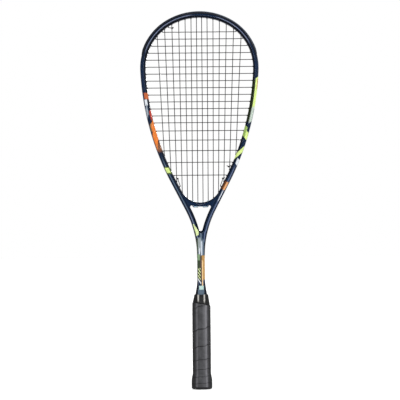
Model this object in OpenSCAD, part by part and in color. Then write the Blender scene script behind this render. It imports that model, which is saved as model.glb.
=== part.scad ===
// Squash racket, standing on its butt face: x across the head, y through the strings, z up the handle.
// The front looks along -y. Lengths are in millimetres and angles in degrees.

/* [Overall] */
// Butt face to the top of the bumper guard
racket_length = 686; // [676:1:696]
// Widest part of the head, over the frame
head_width = 215; // [208:1:222]

/* [Head outline] */
// Outer radius of the frame round the crown
crown_radius = 116; // [110:1:122]
// Half of the angle that the crown arc covers
crown_half_angle = 30; // [27:1:33]
// Heading, from the top, at which the shoulder arc ends
flank_heading = 92.5; // [91:0.5:94]
// Outer radius of the long flank arcs
flank_radius = 490; // [460:5:510]
// Lean of the throat arms from the racket's axis
arm_angle = 27.25; // [25.5:0.25:28]
// Outer radius where the arms bend into the shaft
fork_radius = 180; // [165:5:195]

/* [Frame tube] */
// Tube width, seen from the front
beam_width = 10; // [9.8:0.1:10.4]
// Tube depth, along the string normal
beam_depth = 20; // [18:0.5:22]
// Wall of the hollow tube
frame_wall = 1.2; // [0.9:0.1:1.4]
// Width of the string groove round the outside
groove_width = 4.6; // [4.4:0.1:5.2]
// Depth of the string groove
groove_depth = 3.6; // [3.5:0.1:4]
// Width of the shaft, both arms together
shaft_width = 14.2; // [13.6:0.1:15]
// Radius of the rounded bottom of the throat opening
throat_fillet = 2.2; // [1.8:0.1:3]
// Depth of the web that closes the bottom of the throat opening
throat_web_depth = 12; // [8:0.5:14]
// Height at which the shaft starts to flare
flare_top = 212; // [208:1:218]
// Radius of the flare's hollow curve
flare_curve = 186; // [176:1:200]

/* [Throat bridge] */
// Radius of the bridge, on the string side
bridge_radius = 38; // [36.5:0.5:39.5]
// Thickness of the bridge on the axis
bridge_thickness = 7; // [6:0.25:8]
// Depth of the bridge, along the string normal
bridge_depth = 15; // [13:0.5:17]
// Rounding of the bridge's edges on the string side
bridge_rounding = 4; // [2:0.25:5]
// Radius of the bridge's underside
bridge_sole_radius = 170; // [140:5:220]

/* [Strings] */
// String diameter
string_d = 1.2; // [1.1:0.05:1.3]
// Gap between the layer of mains and the layer of crosses
layer_gap = 0.3; // [0.2:0.05:0.4]
// Space between the two middle mains
main_pitch = 9.4; // [9:0.1:9.6]
// Growth of the main spacing at the first cross
main_spread_top = 0.43; // [0.37:0.02:0.47]
// Growth of the main spacing at the last cross
main_spread_throat = 0.05; // [0.02:0.01:0.08]
// First cross below the top of the racket
cross_first = 37.6; // [36:0.2:40]
// Space between the evenly spaced crosses
cross_pitch = 12.65; // [12.4:0.05:12.8]
// Growth of each cross space towards the throat
cross_growth = 2.15; // [2:0.05:2.3]
// Inner radius of the bends that the string makes
string_bend = 0.7; // [0.5:0.1:1]
// Length of the tails beyond the knots
knot_tail = 6; // [3:0.5:8]

/* [Grommets and bumper guard] */
// Outer diameter of a grommet barrel
barrel_d = 3.2; // [3:0.1:3.6]
// Wall of a grommet barrel
barrel_wall = 0.65; // [0.5:0.05:0.7]
// Length that a barrel stands out inside the head
barrel_out = 1.2; // [0.8:0.1:1.6]
// Thickness of the strips on the groove's floor
strip_t = 0.8; // [0.6:0.1:0.8]
// Clearance of the grommets in their holes and of the strips in the groove
grommet_fit = 0.1; // [0.05:0.05:0.2]
// Thickness of the bumper guard over the frame
bumper_t = 1.6; // [1.2:0.1:2]
// Width of the bumper guard
bumper_width = 9; // [8.4:0.1:9.2]
// Gap between the ends of neighbouring strips
strip_gap = 1; // [0.6:0.1:2]

/* [Handle] */
// Pallet width across the flats, seen from the front
pallet_width = 29.4; // [28.5:0.1:31]
// Pallet depth across the flats
pallet_depth = 25.6; // [24.8:0.1:27]
// Corner cut of the octagonal pallet
pallet_bevel = 7; // [6.4:0.1:7.6]
// Height of the top of the pallets
pallet_top = 172; // [168:1:176]
// Height at which the pallets start to taper
taper_start = 144; // [140:1:147]
// Inset of the pallets' sides where the collar starts
taper_low = 0.3; // [0.1:0.1:0.6]
// Inset of the pallets' sides at the top
taper_high = 3.3; // [3:0.1:3.7]
// Inset of the pallets' front and back where the collar starts
taper_low_y = 0.5; // [0.3:0.1:0.7]
// Inset of the pallets' front and back at the top
taper_high_y = 1.4; // [1.1:0.1:1.6]
// Clearance of the pallets on the shaft
shaft_fit = 0.1; // [0.05:0.05:0.2]
// Gap between the two pallets
pallet_gap = 0.2; // [0.1:0.1:0.4]

/* [Butt cap] */
// Floor of the cap
cap_floor = 3.5; // [3:0.5:5]
// Height of the top of the cap's skirt
cap_skirt_top = 24; // [22:0.5:26]
// Outward flare of the skirt over the pallets
cap_flare = 2.2; // [2:0.1:2.6]
// Height of the full flare
cap_full = 15; // [13:0.5:17]
// Height at which the flare has run out
cap_run_out = 31; // [29:0.5:34]
// Height of the end flange
cap_flange = 4.2; // [3.6:0.2:5]
// Inward reach of the rounding under the flange
cap_round = 4.6; // [4:0.2:5.2]
// Clearance of the cap on the pallets
cap_fit = 0.1; // [0.05:0.05:0.2]
// Thickness of a staple's wire
staple_d = 0.9; // [0.7:0.1:1.1]
// Width of a staple
staple_width = 11; // [9:0.5:13]
// Length of a staple's legs
staple_leg = 6; // [5:0.5:7]
// Height of the staples
staple_height = 17; // [14:0.5:19]

/* [Grip tape and collar] */
// Width of the tape
tape_width = 24; // [22:0.5:27]
// Thickness of the tape
tape_t = 1.6; // [1.3:0.1:2]
// Open seam between two turns of the tape
tape_seam = 0.7; // [0.5:0.05:1]
// Clearance under the tape
tape_fit = 0.2; // [0.15:0.05:0.3]
// Height of the top of the tape
tape_top = 155; // [152:1:158]
// Thickness of the collar
collar_t = 1.1; // [0.8:0.1:1.4]
// Clearance under the collar
collar_fit = 0.15; // [0.1:0.05:0.2]

/* [Hidden] */
$fn = 96;
main_pairs = 7;
bridge_pairs = 2;
cross_count = 19;
cross_even = 14;
bumper_crosses = 4;
string_sides = 6;
tape_stations = 6;
// Every second run of a tube is this much slimmer and reaches this far into its neighbours
joint_step = 0.02;
joint_lap = 0.5;

function unit(t) = [sin(t), cos(t)];
function along(t) = [cos(t), -sin(t)];
function arc_length(r, a) = r * a * PI / 180;
function heading(s, r) = s / r * 180 / PI;
function rev(v) = [for (i = [len(v) - 1 : -1 : 0]) v[i]];
function flip(v) = [for (p = v) [-p[0], p[1]]];
function last(v) = v[len(v) - 1];
function dir2(v) = v / max(norm(v), 1e-9);

// The head's outline: arcs that meet tangentially, with headings counted clockwise from the top
frame_top = racket_length - bumper_t;
arm_heading = 90 + arm_angle;
shoulder_radius = (head_width / 2 - crown_radius * sin(crown_half_angle)) / (1 - sin(crown_half_angle));
crown_c = [0, frame_top - crown_radius];
shoulder_c = crown_c + (crown_radius - shoulder_radius) * unit(crown_half_angle);
flank_c = shoulder_c + (shoulder_radius - flank_radius) * unit(flank_heading);
crown_r = crown_radius - beam_width;
shoulder_r = shoulder_radius - beam_width;
flank_r = flank_radius - beam_width;
arm_p = flank_c + flank_r * unit(arm_heading);
fork_in = fork_radius + beam_width;
arm_length = (arm_p[0] + fork_in * sin(arm_heading) - shaft_width / 2 - fork_radius) / -cos(arm_heading);
fork_c = arm_p + arm_length * along(arm_heading) + fork_in * unit(arm_heading);
bridge_run = (arm_p[0] - bridge_radius * sin(arm_heading)) / -cos(arm_heading);
bridge_c = arm_p + bridge_run * along(arm_heading) - bridge_radius * unit(arm_heading);
bridge_low = bridge_c[1] - bridge_radius - bridge_thickness;
sole_c = [0, bridge_low + bridge_sole_radius];

// Lengths along the inner edge, from the top on the axis
s_crown = arc_length(crown_r, crown_half_angle);
s_wide = s_crown + arc_length(shoulder_r, 90 - crown_half_angle);
s_shoulder = s_crown + arc_length(shoulder_r, flank_heading - crown_half_angle);
s_flank = s_shoulder + arc_length(flank_r, arm_heading - flank_heading);
s_bridge = s_flank + bridge_run;
s_end = s_bridge + arc_length(bridge_radius, 180 - arm_heading);

// Heading and point on the hoop, and on the head's edge, which leaves the arms for the bridge
function hoop_t(s) =
    s < s_crown ? heading(s, crown_r) :
    s < s_shoulder ? crown_half_angle + heading(s - s_crown, shoulder_r) :
    s < s_flank ? flank_heading + heading(s - s_shoulder, flank_r) : arm_heading;
function hoop_p(s, out) =
    let (t = hoop_t(s))
    s < s_crown ? crown_c + (crown_r + out) * unit(t) :
    s < s_shoulder ? shoulder_c + (shoulder_r + out) * unit(t) :
    s < s_flank ? flank_c + (flank_r + out) * unit(t) :
    arm_p + (s - s_flank) * along(t) + out * unit(t);
function edge_t(s) = s < s_bridge ? hoop_t(s) : arm_heading + heading(s - s_bridge, bridge_radius);
function edge_p(s, out) =
    s < s_bridge ? hoop_p(s, out) : bridge_c + (bridge_radius + out) * unit(edge_t(s));

// Where a straight string, as [point, direction], meets a curve beside the head's edge
bend_out = barrel_out + 0.7;
function side_of(l, s, out) = let (p = edge_p(s, out) - l[0]) l[1][0] * p[1] - l[1][1] * p[0];
function meet(l, a, b, out, n = 40) =
    let (m = (a + b) / 2)
    n == 0 ? m :
    side_of(l, a, out) * side_of(l, m, out) <= 0 ? meet(l, a, m, out, n - 1) : meet(l, m, b, out, n - 1);

// A string end: [mouth, direction of its hole, length to the floor of the groove, place along the hoop]
floor_out = beam_width - groove_depth;
function sole_z(x) = sole_c[1] - sqrt(bridge_sole_radius * bridge_sole_radius - x * x);
function hoop_end(s) = [hoop_p(s, -bend_out), unit(hoop_t(s)), bend_out + floor_out, s];
function arm_end(p) =
    let (q = p - arm_p)
    [p, unit(arm_heading), floor_out - q * unit(arm_heading), s_flank + q * along(arm_heading)];
function sole_end(p) = [p, [0, -1], p[1] - sole_z(p[0]), s_end];
function string_end(s, in_bridge) =
    in_bridge ? sole_end(edge_p(s, -bend_out)) : s < s_bridge ? hoop_end(s) : arm_end(edge_p(s, -bend_out));

// The crosses are even near the top and spread towards the throat
function cross_z(j) =
    j == 0 ? racket_length - cross_first :
    cross_z(j - 1) - cross_pitch - cross_growth * max(0, j - cross_even + 1);
last_cross = cross_count - 1;

// The mains fan out from the throat to the crown
function main_x(i, spread) = main_pitch * (i + 0.5) + spread * i * i;
function main_line(i) =
    let (top = [main_x(i, main_spread_top), cross_z(0)])
    let (low = [main_x(i, main_spread_throat), cross_z(last_cross)])
    [low, dir2(top - low)];
main_tops = [for (i = [0 : main_pairs - 1]) string_end(meet(main_line(i), 0, s_wide, 0), false)];
main_lows = [
    for (i = [0 : main_pairs - 1]) string_end(meet(main_line(i), s_wide, s_end, 0), i < bridge_pairs)
];
cross_ends = [
    for (j = [0 : last_cross]) string_end(meet([[0, cross_z(j)], [1, 0]], 0, s_end, -bend_out), false)
];

// Extra holes for the tied ends: mains on both sides, the first cross on the left, the last on the right
main_tie = hoop_end((main_lows[3][3] + main_lows[4][3]) / 2);
first_tie = hoop_end((main_tops[4][3] + main_tops[5][3]) / 2);
above_last = max([for (e = concat(cross_ends, main_lows)) if (e[3] < main_lows[5][3]) e[3]]);
last_tie = hoop_end((above_last + main_lows[5][3]) / 2);
hoop_lows = [for (i = [bridge_pairs : main_pairs - 1]) main_lows[i]];
bridge_lows = [for (i = [0 : bridge_pairs - 1]) main_lows[i]];
main_holes = concat(main_tops, hoop_lows, [main_tie]);
left_holes = concat(cross_ends, [first_tie]);
right_holes = concat(cross_ends, [last_tie]);

// Ends of the strips and of the groove, as lengths along the hoop
s_bumper = (cross_ends[bumper_crosses - 1][3] + cross_ends[bumper_crosses][3]) / 2;
s_groove = main_lows[bridge_pairs][3] + 8;
strip_fit = groove_width / 2 - grommet_fit;

// Layers and lanes of the strings
string_r = string_d / 2;
main_y = string_r + layer_gap / 2;
cross_y = -main_y;
barrel_r = barrel_d / 2;
bore_r = barrel_r - barrel_wall;
lane_low = strip_t + string_r + 0.1;
lane_step = string_d + 0.15;

// A path along a lane of the groove, from one place on the hoop to another
function lane_out(lane) = floor_out + lane_low + lane * lane_step;
function lane_run(a, b, lane) =
    let (n = max(1, round(abs(b - a) / 9)))
    [for (k = [0 : n]) hoop_p(a + (b - a) * k / n, lane_out(lane))];
function sole_p(e) = e[0] + (e[2] + lane_low) * e[1];
function knot_p(p, e, d) = p[0] + d * dir2(e[0] - p[0]);

// Points of a rounded path: each corner becomes a short curve
function round_path(v, r) = concat([v[0]], [
    for (i = [1 : len(v) - 2])
        let (a = v[i - 1] - v[i], b = v[i + 1] - v[i])
        let (turn = acos(max(-1, min(1, -(dir2(a) * dir2(b))))))
        let (c = min(r * tan(turn / 2), 0.45 * norm(a), 0.45 * norm(b)))
        let (p = v[i] + c * dir2(a), q = v[i] + c * dir2(b))
        each turn < 20 ? [v[i]] : [p, (p + q) / 4 + v[i] / 2, q]
], [last(v)]);

// A knot lies this far along its main from the mouth, or further where a cross would meet it
knot_in = 4.5;
knot_half = 0.45 * string_d + string_r;
knot_room = knot_half + string_r + layer_gap;
function knot_reach(e, l, up) =
    let (z = e[0][1] + up * knot_in * l[1][1])
    let (near = [for (j = [0 : last_cross]) if (abs(cross_z(j) - z) < knot_room) cross_z(j)])
    len(near) == 0 ? knot_in : (up * (near[0] - e[0][1]) + knot_room) / l[1][1];
function knot_on(e, l, up) = e[0] + up * knot_reach(e, l, up) * l[1];

// The main string, from the top loop on the axis to the knot on the fifth main
main_knot_p = knot_on(main_lows[4], main_line(4), 1);
main_half = round_path(concat(
    [hoop_p(0, lane_out(0)), hoop_p(main_tops[0][3], lane_out(0))],
    [main_tops[0][0], main_lows[0][0], sole_p(main_lows[0])],
    [sole_p(main_lows[1]), main_lows[1][0], main_tops[1][0]],
    lane_run(main_tops[1][3], main_tops[2][3], 0),
    [main_tops[2][0], main_lows[2][0]],
    lane_run(main_lows[2][3], main_lows[3][3], 0),
    [main_lows[3][0], main_tops[3][0]],
    lane_run(main_tops[3][3], main_tops[4][3], 0),
    [main_tops[4][0], main_lows[4][0]],
    lane_run(main_lows[4][3], main_lows[5][3], 0),
    [main_lows[5][0], main_tops[5][0]],
    lane_run(main_tops[5][3], main_tops[6][3], 0),
    [main_tops[6][0], main_lows[6][0]],
    lane_run(main_lows[6][3], main_tie[3], 1),
    [main_tie[0], main_knot_p - 3.3 * string_d * dir2(main_knot_p - main_tie[0])]
), string_r + string_bend);
main_path = concat(rev(flip(main_half)), [for (i = [1 : len(main_half) - 1]) main_half[i]]);

// The cross string, from the knot on the left at the top to the knot on the right at the throat
first_knot_p = flip([knot_on(main_tops[4], main_line(4), -1)])[0];
last_knot_p = knot_on(main_lows[5], main_line(5), 1);
first_tie_l = flip([first_tie[0]])[0];
function loop_after(j) =
    let (v = lane_run(cross_ends[j][3], cross_ends[j + 1][3], 0))
    concat([cross_ends[j][0]], v, [cross_ends[j + 1][0]]);
cross_path = round_path(concat(
    [first_knot_p - 2.1 * string_d * dir2(first_knot_p - first_tie_l), first_tie_l],
    flip(lane_run(first_tie[3], cross_ends[0][3], 0)),
    flip([cross_ends[0][0]]),
    [for (j = [0 : last_cross - 1]) each j % 2 == 0 ? loop_after(j) : flip(loop_after(j))],
    [cross_ends[last_cross][0]],
    lane_run(cross_ends[last_cross][3], last_tie[3], 0),
    [last_tie[0], last_knot_p - 2.1 * string_d * dir2(last_knot_p - last_tie[0])]
), string_r + string_bend);

// Octagons of the handle, grown outwards by d = [at the sides, at the front and back]
both = [1, 1];
function octagon(d) =
    let (x = pallet_width / 2 + d[0], y = pallet_depth / 2 + d[1])
    let (b = pallet_bevel + (d[0] + d[1]) * (1 - sqrt(0.5)))
    [[x - b, -y], [x, b - y], [x, y - b], [x - b, y], [b - x, y], [-x, y - b], [-x, b - y], [b - x, -y]];
function taper(z) = [
    -lookup(z, [[taper_start, 0], [tape_top, taper_low], [pallet_top, taper_high]]),
    -lookup(z, [[taper_start, 0], [tape_top, taper_low_y], [pallet_top, taper_high_y]])
];
function flare(z) =
    z > cap_run_out ? taper(z) :
    cap_flare * (0.5 + 0.5 * cos(180 * max(0, z - cap_full) / (cap_run_out - cap_full))) * both;
tape_low = cap_flange + tape_fit;
tape_out = cap_flare + tape_fit + tape_t;
cap_rings = [
    [0, tape_out - cap_round],
    for (a = [15 : 15 : 75]) [cap_flange * (1 - cos(a)), tape_out - cap_round * (1 - sin(a))],
    [cap_flange, tape_out],
    [cap_flange, cap_flare]
];

// The tape climbs one pitch a turn, clipped level at both ends
tape_pitch = tape_width + tape_seam;
tape_turns = (tape_top - tape_low) / tape_pitch + 1;
function corner_turn(c) = let (p = octagon(0 * both)[c % 8]) (atan2(p[1], p[0]) + 360) % 360 / 360;
function tape_turn(c) = floor(c / 8) + (corner_turn(c) - corner_turn(0) + 1) % 1;
function tape_z(c) = tape_low - tape_width + tape_pitch * (tape_turn(c) + 0.05);
tape_first = 0;
tape_last = floor(8 * tape_turns) - 1;
function tape_ring(c) =
    let (a = max(tape_low, tape_z(c)), b = min(tape_top, tape_z(c) + tape_width))
    let (zs = [for (k = [0 : tape_stations - 1]) a + (b - a) * k / (tape_stations - 1)])
    concat(
        [for (z = zs) let (p = octagon(flare(z) + tape_fit * both)[c % 8]) [p[0], p[1], z]],
        [for (z = rev(zs)) let (p = octagon(flare(z) + (tape_fit + tape_t) * both)[c % 8]) [p[0], p[1], z]]
    );
tape_rings = [for (c = [tape_first : tape_last]) tape_ring(c)];
tape_gaps = [
    for (c = [tape_first : tape_last - 8], p = tape_rings[c], q = tape_rings[c + 8])
        norm(p - q)
];
echo(least_gap_between_tape_turns = min(tape_gaps));
echo(least_pitch_of_loops = min([for (j = [1 : last_cross]) cross_z(j - 1) - cross_z(j)]) - string_d);

navy = [0.05, 0.09, 0.17];
black = [0.05, 0.05, 0.055];
ice = [0.72, 0.82, 0.88];
grey = [0.3, 0.31, 0.33];
steel = [0.7, 0.7, 0.72];
cream = [0.8, 0.76, 0.66];

// Raises a drawing of the racket's plane, so that its second axis becomes the height
module stand() {
    rotate([90, 0, 0]) children();
}

// Sweeps a section round an arc of the hoop; the section's x axis points outwards
module arc_tube(c, r, from, to, lap = 0) {
    more = heading(lap, r);
    translate([c[0], c[1], 0]) rotate([0, 0, 90 - to - more])
        rotate_extrude(angle = to - from + 2 * more) translate([r, 0]) children();
}

module straight_tube(p, t, length, lap = 0) {
    translate([p[0], p[1], 0]) rotate([0, 0, 90 - t]) rotate([90, 0, 0])
        translate([0, 0, -lap]) linear_extrude(length + 2 * lap) children();
}

module fork_tube(lap) {
    more = heading(lap, fork_in);
    translate([fork_c[0], fork_c[1], 0]) rotate([0, 0, 270 - arm_heading - more])
        rotate_extrude(angle = arm_angle + 2 * more) translate([fork_in, 0]) mirror([1, 0]) children();
}

module stadium(inset) {
    w = beam_width - 2 * inset;
    h = beam_depth - beam_width;
    translate([inset, -h / 2]) square([w, h]);
    for (s = [-1, 1])
        translate([beam_width / 2, s * h / 2]) circle(d = w);
}

module grooved(inset) {
    difference() {
        stadium(inset);
        translate([floor_out - inset, -groove_width / 2 - inset])
            square([groove_depth + inset + 1, groove_width + 2 * inset]);
    }
}

// The two tubes side by side in the shaft, grown outwards by d
module shaft_section(d) {
    h = beam_depth - beam_width;
    square([shaft_width + 2 * d, h], center = true);
    for (x = [-1, 1], y = [-1, 1])
        translate([x * (shaft_width - beam_width) / 2, y * h / 2]) circle(beam_width / 2 + d);
}

module both_sides() {
    children();
    mirror([1, 0, 0]) children();
}

// The arms below the groove, the fork and the shaft, down to the floor of the butt cap
groove_arm = s_groove - s_flank;
groove_p = arm_p + groove_arm * along(arm_heading);
module plain_run(inset) {
    both_sides() {
        straight_tube(groove_p + inset * along(arm_heading), arm_heading, arm_length - groove_arm - inset)
            stadium(inset);
        fork_tube(joint_lap) stadium(inset + joint_step);
    }
    translate([0, cap_floor, 0]) rotate([-90, 0, 0])
        linear_extrude(fork_c[1] - cap_floor) shaft_section(-inset);
}

// A rod along a string hole, in the racket's plane at depth y
module hole_rod(e, y, r, from, to) {
    translate([e[0][0] + from * e[1][0], e[0][1] + from * e[1][1], -y])
        rotate([0, 0, 90 - atan2(e[1][0], e[1][1])])
            rotate([0, 90, 0]) cylinder(r = r, h = to - from, $fn = 24);
}

module holes_at(ends, y, r) {
    for (e = ends)
        hole_rod(e, y, r, 0, e[2] + groove_depth + 4);
}

// Holes for the grommets that lie between two places on the hoop, or just beyond them
module drill(mains, crosses, from, to) {
    r = barrel_r + grommet_fit;
    holes_at([for (e = mains) if (e[3] > from - 6 && e[3] < to + 6) e], main_y, r);
    holes_at([for (e = crosses) if (e[3] > from - 6 && e[3] < to + 6) e], cross_y, r);
}

// The hollow runs of the hoop, each drilled before it is joined to the next
module crown_run() {
    difference() {
        arc_tube(crown_c, crown_r, -crown_half_angle, crown_half_angle) grooved(0);
        arc_tube(crown_c, crown_r, -crown_half_angle, crown_half_angle, 1) grooved(frame_wall);
        drill(main_holes, right_holes, 0, s_crown);
        mirror([1, 0, 0]) drill(main_holes, left_holes, 0, s_crown);
    }
}

module shoulder_run(crosses) {
    difference() {
        arc_tube(shoulder_c, shoulder_r, crown_half_angle, flank_heading, joint_lap) grooved(joint_step);
        arc_tube(shoulder_c, shoulder_r, crown_half_angle, flank_heading, 2) grooved(frame_wall + joint_step);
        drill(main_holes, crosses, s_crown, s_shoulder);
    }
}

module flank_run(crosses) {
    difference() {
        arc_tube(flank_c, flank_r, flank_heading, arm_heading) grooved(0);
        arc_tube(flank_c, flank_r, flank_heading, arm_heading, 1) grooved(frame_wall);
        drill(main_holes, crosses, s_shoulder, s_flank);
    }
}

module arm_run(crosses) {
    difference() {
        straight_tube(arm_p, arm_heading, groove_arm, joint_lap) grooved(joint_step);
        straight_tube(arm_p - 2 * along(arm_heading), arm_heading, groove_arm + 1)
            grooved(frame_wall + joint_step);
        drill(main_holes, crosses, s_flank, s_groove);
    }
}

module side_run(crosses) {
    shoulder_run(crosses);
    flank_run(crosses);
    arm_run(crosses);
}

module throat_run() {
    difference() {
        union() {
            plain_run(0);
            shaft_flare();
            throat_web();
        }
        plain_run(frame_wall);
    }
}

// Hollow curve that widens the shaft towards the handle
module shaft_flare() {
    top_r = shaft_width / 2 - 0.6;
    end_r = top_r + flare_curve - sqrt(pow(flare_curve, 2) - pow(flare_top - pallet_top, 2));
    translate([0, pallet_top, 0]) rotate([-90, 0, 0]) rotate_extrude() difference() {
        square([end_r, flare_top - pallet_top]);
        translate([top_r + flare_curve, flare_top - pallet_top]) circle(flare_curve, $fn = 360);
    }
}

// Web with a round bottom where the inner walls of the arms meet
throat_z = fork_c[1] + sqrt(pow(fork_in + throat_fillet, 2) - pow(fork_c[0], 2)) - 0.6;
module throat_web() {
    linear_extrude(throat_web_depth, center = true) difference() {
        translate([-throat_fillet - 1.6, throat_z - 20]) square([2 * throat_fillet + 3.2, 20]);
        translate([0, throat_z]) circle(throat_fillet);
    }
}

module frame() {
    color(navy) stand() union() {
        crown_run();
        side_run(right_holes);
        mirror([1, 0, 0]) side_run(left_holes);
        throat_run();
    }
}

// Ring with rounded inner edges, cut by the sole and by the arms
module bridge_section() {
    h = bridge_depth / 2 - bridge_rounding;
    translate([bridge_rounding, -bridge_depth / 2]) square([bridge_thickness + 14, bridge_depth]);
    translate([0, -h]) square([bridge_rounding, 2 * h]);
    for (s = [-1, 1])
        translate([bridge_rounding, s * h]) circle(bridge_rounding);
}

module throat_bridge() {
    mid = beam_width / 2;
    low = arm_p + arm_length * along(arm_heading) + mid * unit(arm_heading);
    top = arm_p + bridge_run * along(arm_heading) + mid * unit(arm_heading);
    color(navy) stand() difference() {
        intersection() {
            arc_tube(bridge_c, bridge_radius, 100, 260) bridge_section();
            translate([0, sole_c[1], 0]) cylinder(r = bridge_sole_radius, h = 40, center = true, $fn = 360);
            linear_extrude(40, center = true)
                polygon([low, top, [-top[0], top[1]], [-low[0], low[1]]]);
        }
        both_sides() straight_tube(arm_p, arm_heading, arm_length, 1) stadium(0);
        both_sides() holes_at(bridge_lows, main_y, barrel_r + grommet_fit);
        both_sides() holes_at([main_lows[bridge_pairs]], main_y, barrel_r + grommet_fit);
    }
}

// Barrels of a strip, from the inside of the head to the floor of the groove, and their bores
module barrels(ends, y) {
    for (e = ends)
        hole_rod(e, y, barrel_r, bend_out - barrel_out, e[2] + strip_t / 2);
}

module bores(ends, y) {
    for (e = ends)
        hole_rod(e, y, bore_r, -1, e[2] + strip_t + 1);
}

// Section of the bumper guard: a channel in the groove with a flange on each side
module bumper_section(d) {
    in = strip_fit - barrel_wall + d;
    top = beam_width + bumper_t - d;
    translate([floor_out + d, d - strip_fit]) square([strip_t - 2 * d, 2 * (strip_fit - d)]);
    for (s = [0, 1]) mirror([0, s]) {
        translate([floor_out + d, in]) square([top - floor_out - d, strip_fit - d - in]);
        translate([beam_width + d, in]) square([bumper_t - 2 * d, bumper_width / 2 - d - in]);
    }
}

bumper_mains = main_tops;
upper_crosses = [for (j = [0 : bumper_crosses - 1]) cross_ends[j]];
lower_crosses = [for (j = [bumper_crosses : last_cross]) cross_ends[j]];
bumper_heading = hoop_t(s_bumper - strip_gap / 2);
module bumper_guard() {
    color(grey) stand() difference() {
        union() {
            arc_tube(crown_c, crown_r, -crown_half_angle, crown_half_angle) bumper_section(0);
            both_sides() {
                arc_tube(shoulder_c, shoulder_r, crown_half_angle, bumper_heading, joint_lap)
                    bumper_section(joint_step);
                barrels(main_tops, main_y);
                barrels(upper_crosses, cross_y);
            }
            mirror([1, 0, 0]) barrels([first_tie], cross_y);
        }
        both_sides() {
            bores(main_tops, main_y);
            bores(upper_crosses, cross_y);
        }
        mirror([1, 0, 0]) bores([first_tie], cross_y);
    }
}

// Strip on the floor of the groove, from the bumper guard to the throat
module strip_section(d) {
    translate([floor_out + d, d - strip_fit]) square([strip_t - 2 * d, 2 * (strip_fit - d)]);
}

module side_strip(mains, crosses) {
    difference() {
        union() {
            from = hoop_t(s_bumper + strip_gap / 2) + heading(joint_lap, shoulder_r);
            arc_tube(shoulder_c, shoulder_r, from, flank_heading, joint_lap) strip_section(joint_step);
            arc_tube(flank_c, flank_r, flank_heading, arm_heading) strip_section(0);
            straight_tube(arm_p, arm_heading, groove_arm - 2 * strip_gap, joint_lap)
                strip_section(joint_step);
            barrels(mains, main_y);
        }
        bores(mains, main_y);
        bores(crosses, cross_y);
    }
    difference() {
        barrels(crosses, cross_y);
        bores(crosses, cross_y);
    }
}

module grommet_strip_right() {
    color(black) stand() union() {
        side_strip(concat(hoop_lows, [main_tie]), concat(lower_crosses, [last_tie]));
    }
}

module grommet_strip_left() {
    color(black) stand() mirror([1, 0, 0]) union() {
        side_strip(concat(hoop_lows, [main_tie]), lower_crosses);
    }
}

// Short strip under the bridge, with the barrels of the middle mains
module grommet_strip_throat() {
    reach = main_lows[bridge_pairs - 1][0][0] + barrel_r + 0.8;
    color(ice) stand() difference() {
        union() {
            linear_extrude(2 * strip_fit, center = true) intersection() {
                translate([-reach, bridge_low - 4]) square([2 * reach, 8]);
                difference() {
                    translate(sole_c) circle(bridge_sole_radius + strip_t, $fn = 360);
                    translate(sole_c) circle(bridge_sole_radius, $fn = 360);
                }
            }
            both_sides() barrels(bridge_lows, main_y);
        }
        both_sides() bores(bridge_lows, main_y);
    }
}

// A round string along a path of the racket's plane, at depth y
module string_tube(v, y) {
    n = string_sides;
    m = len(v);
    rings = [
        for (i = [0 : m - 1])
            let (a = i == 0 ? v[1] - v[0] : v[i] - v[i - 1], b = i == m - 1 ? a : v[i + 1] - v[i])
            let (d = dir2(dir2(a) + dir2(b)), k = string_r / max(0.6, d * dir2(b)))
            for (j = [0 : n - 1])
                let (q = v[i] + k * cos(360 * j / n) * [-d[1], d[0]])
                [q[0], y + string_r * sin(360 * j / n), q[1]]
    ];
    walls = [
        for (i = [0 : m - 2], j = [0 : n - 1])
            let (a = i * n + j, b = i * n + (j + 1) % n)
            each [[a, b, b + n], [a, b + n, a + n]]
    ];
    ends = [rev([for (j = [0 : n - 1]) j]), [for (j = [0 : n - 1]) (m - 1) * n + j]];
    polyhedron(rings, concat(walls, ends));
}

module main_string() {
    color(black) string_tube(main_path, main_y);
}

module cross_string() {
    color(black) string_tube(cross_path, cross_y);
}

// A double hitch round a main, with its tail
module knot(p, d, side) {
    turn = string_d + 0.1;
    translate([p[0], main_y, p[1]]) rotate([0, atan2(d[0], d[1]), 0]) {
        rotate_extrude() translate([turn, 0]) {
            for (s = [-1, 1])
                translate([0, s * 0.45 * string_d]) circle(string_r, $fn = 24);
        }
        translate([side * turn, 0, 0.45 * string_d]) rotate([100, 0, side * 25])
            cylinder(r = 0.85 * string_r, h = knot_tail, $fn = 24);
    }
}

module main_string_knots() {
    d = main_line(4)[1];
    color(black) {
        knot(main_knot_p, d, -1);
        knot([-main_knot_p[0], main_knot_p[1]], [-d[0], d[1]], 1);
    }
}

module cross_string_knots() {
    d = main_line(4)[1];
    color(black) {
        knot(first_knot_p, [-d[0], d[1]], 1);
        knot(last_knot_p, main_line(5)[1], -1);
    }
}

// A solid through rings of the same number of points, from the lowest to the highest
module loft(rings) {
    n = len(rings[0]);
    m = len(rings);
    walls = [
        for (i = [0 : m - 2], j = [0 : n - 1])
            let (a = i * n + j, b = i * n + (j + 1) % n)
            each [[a, b + n, b], [a, a + n, b + n]]
    ];
    ends = [[for (j = [0 : n - 1]) j], rev([for (j = [0 : n - 1]) (m - 1) * n + j])];
    polyhedron([for (r = rings, p = r) p], concat(walls, ends));
}

function level(z, d) = [for (p = octagon(d)) [p[0], p[1], z]];

// Both pallets as one octagonal body round the shaft, tapered under the collar
module pallets() {
    difference() {
        loft([for (z = [cap_floor, taper_start, tape_top, pallet_top]) level(z, taper(z))]);
        translate([0, 0, cap_floor - 1]) linear_extrude(pallet_top) shaft_section(shaft_fit);
        staples(0.1);
    }
}

module half(side) {
    intersection() {
        pallets();
        translate([-50, side < 0 ? -50 : pallet_gap / 2, 0]) cube([100, 50 - pallet_gap / 2, 300]);
    }
}

module handle_pallet_front() {
    color(cream) half(-1);
}

module handle_pallet_back() {
    color(cream) half(1);
}

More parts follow.
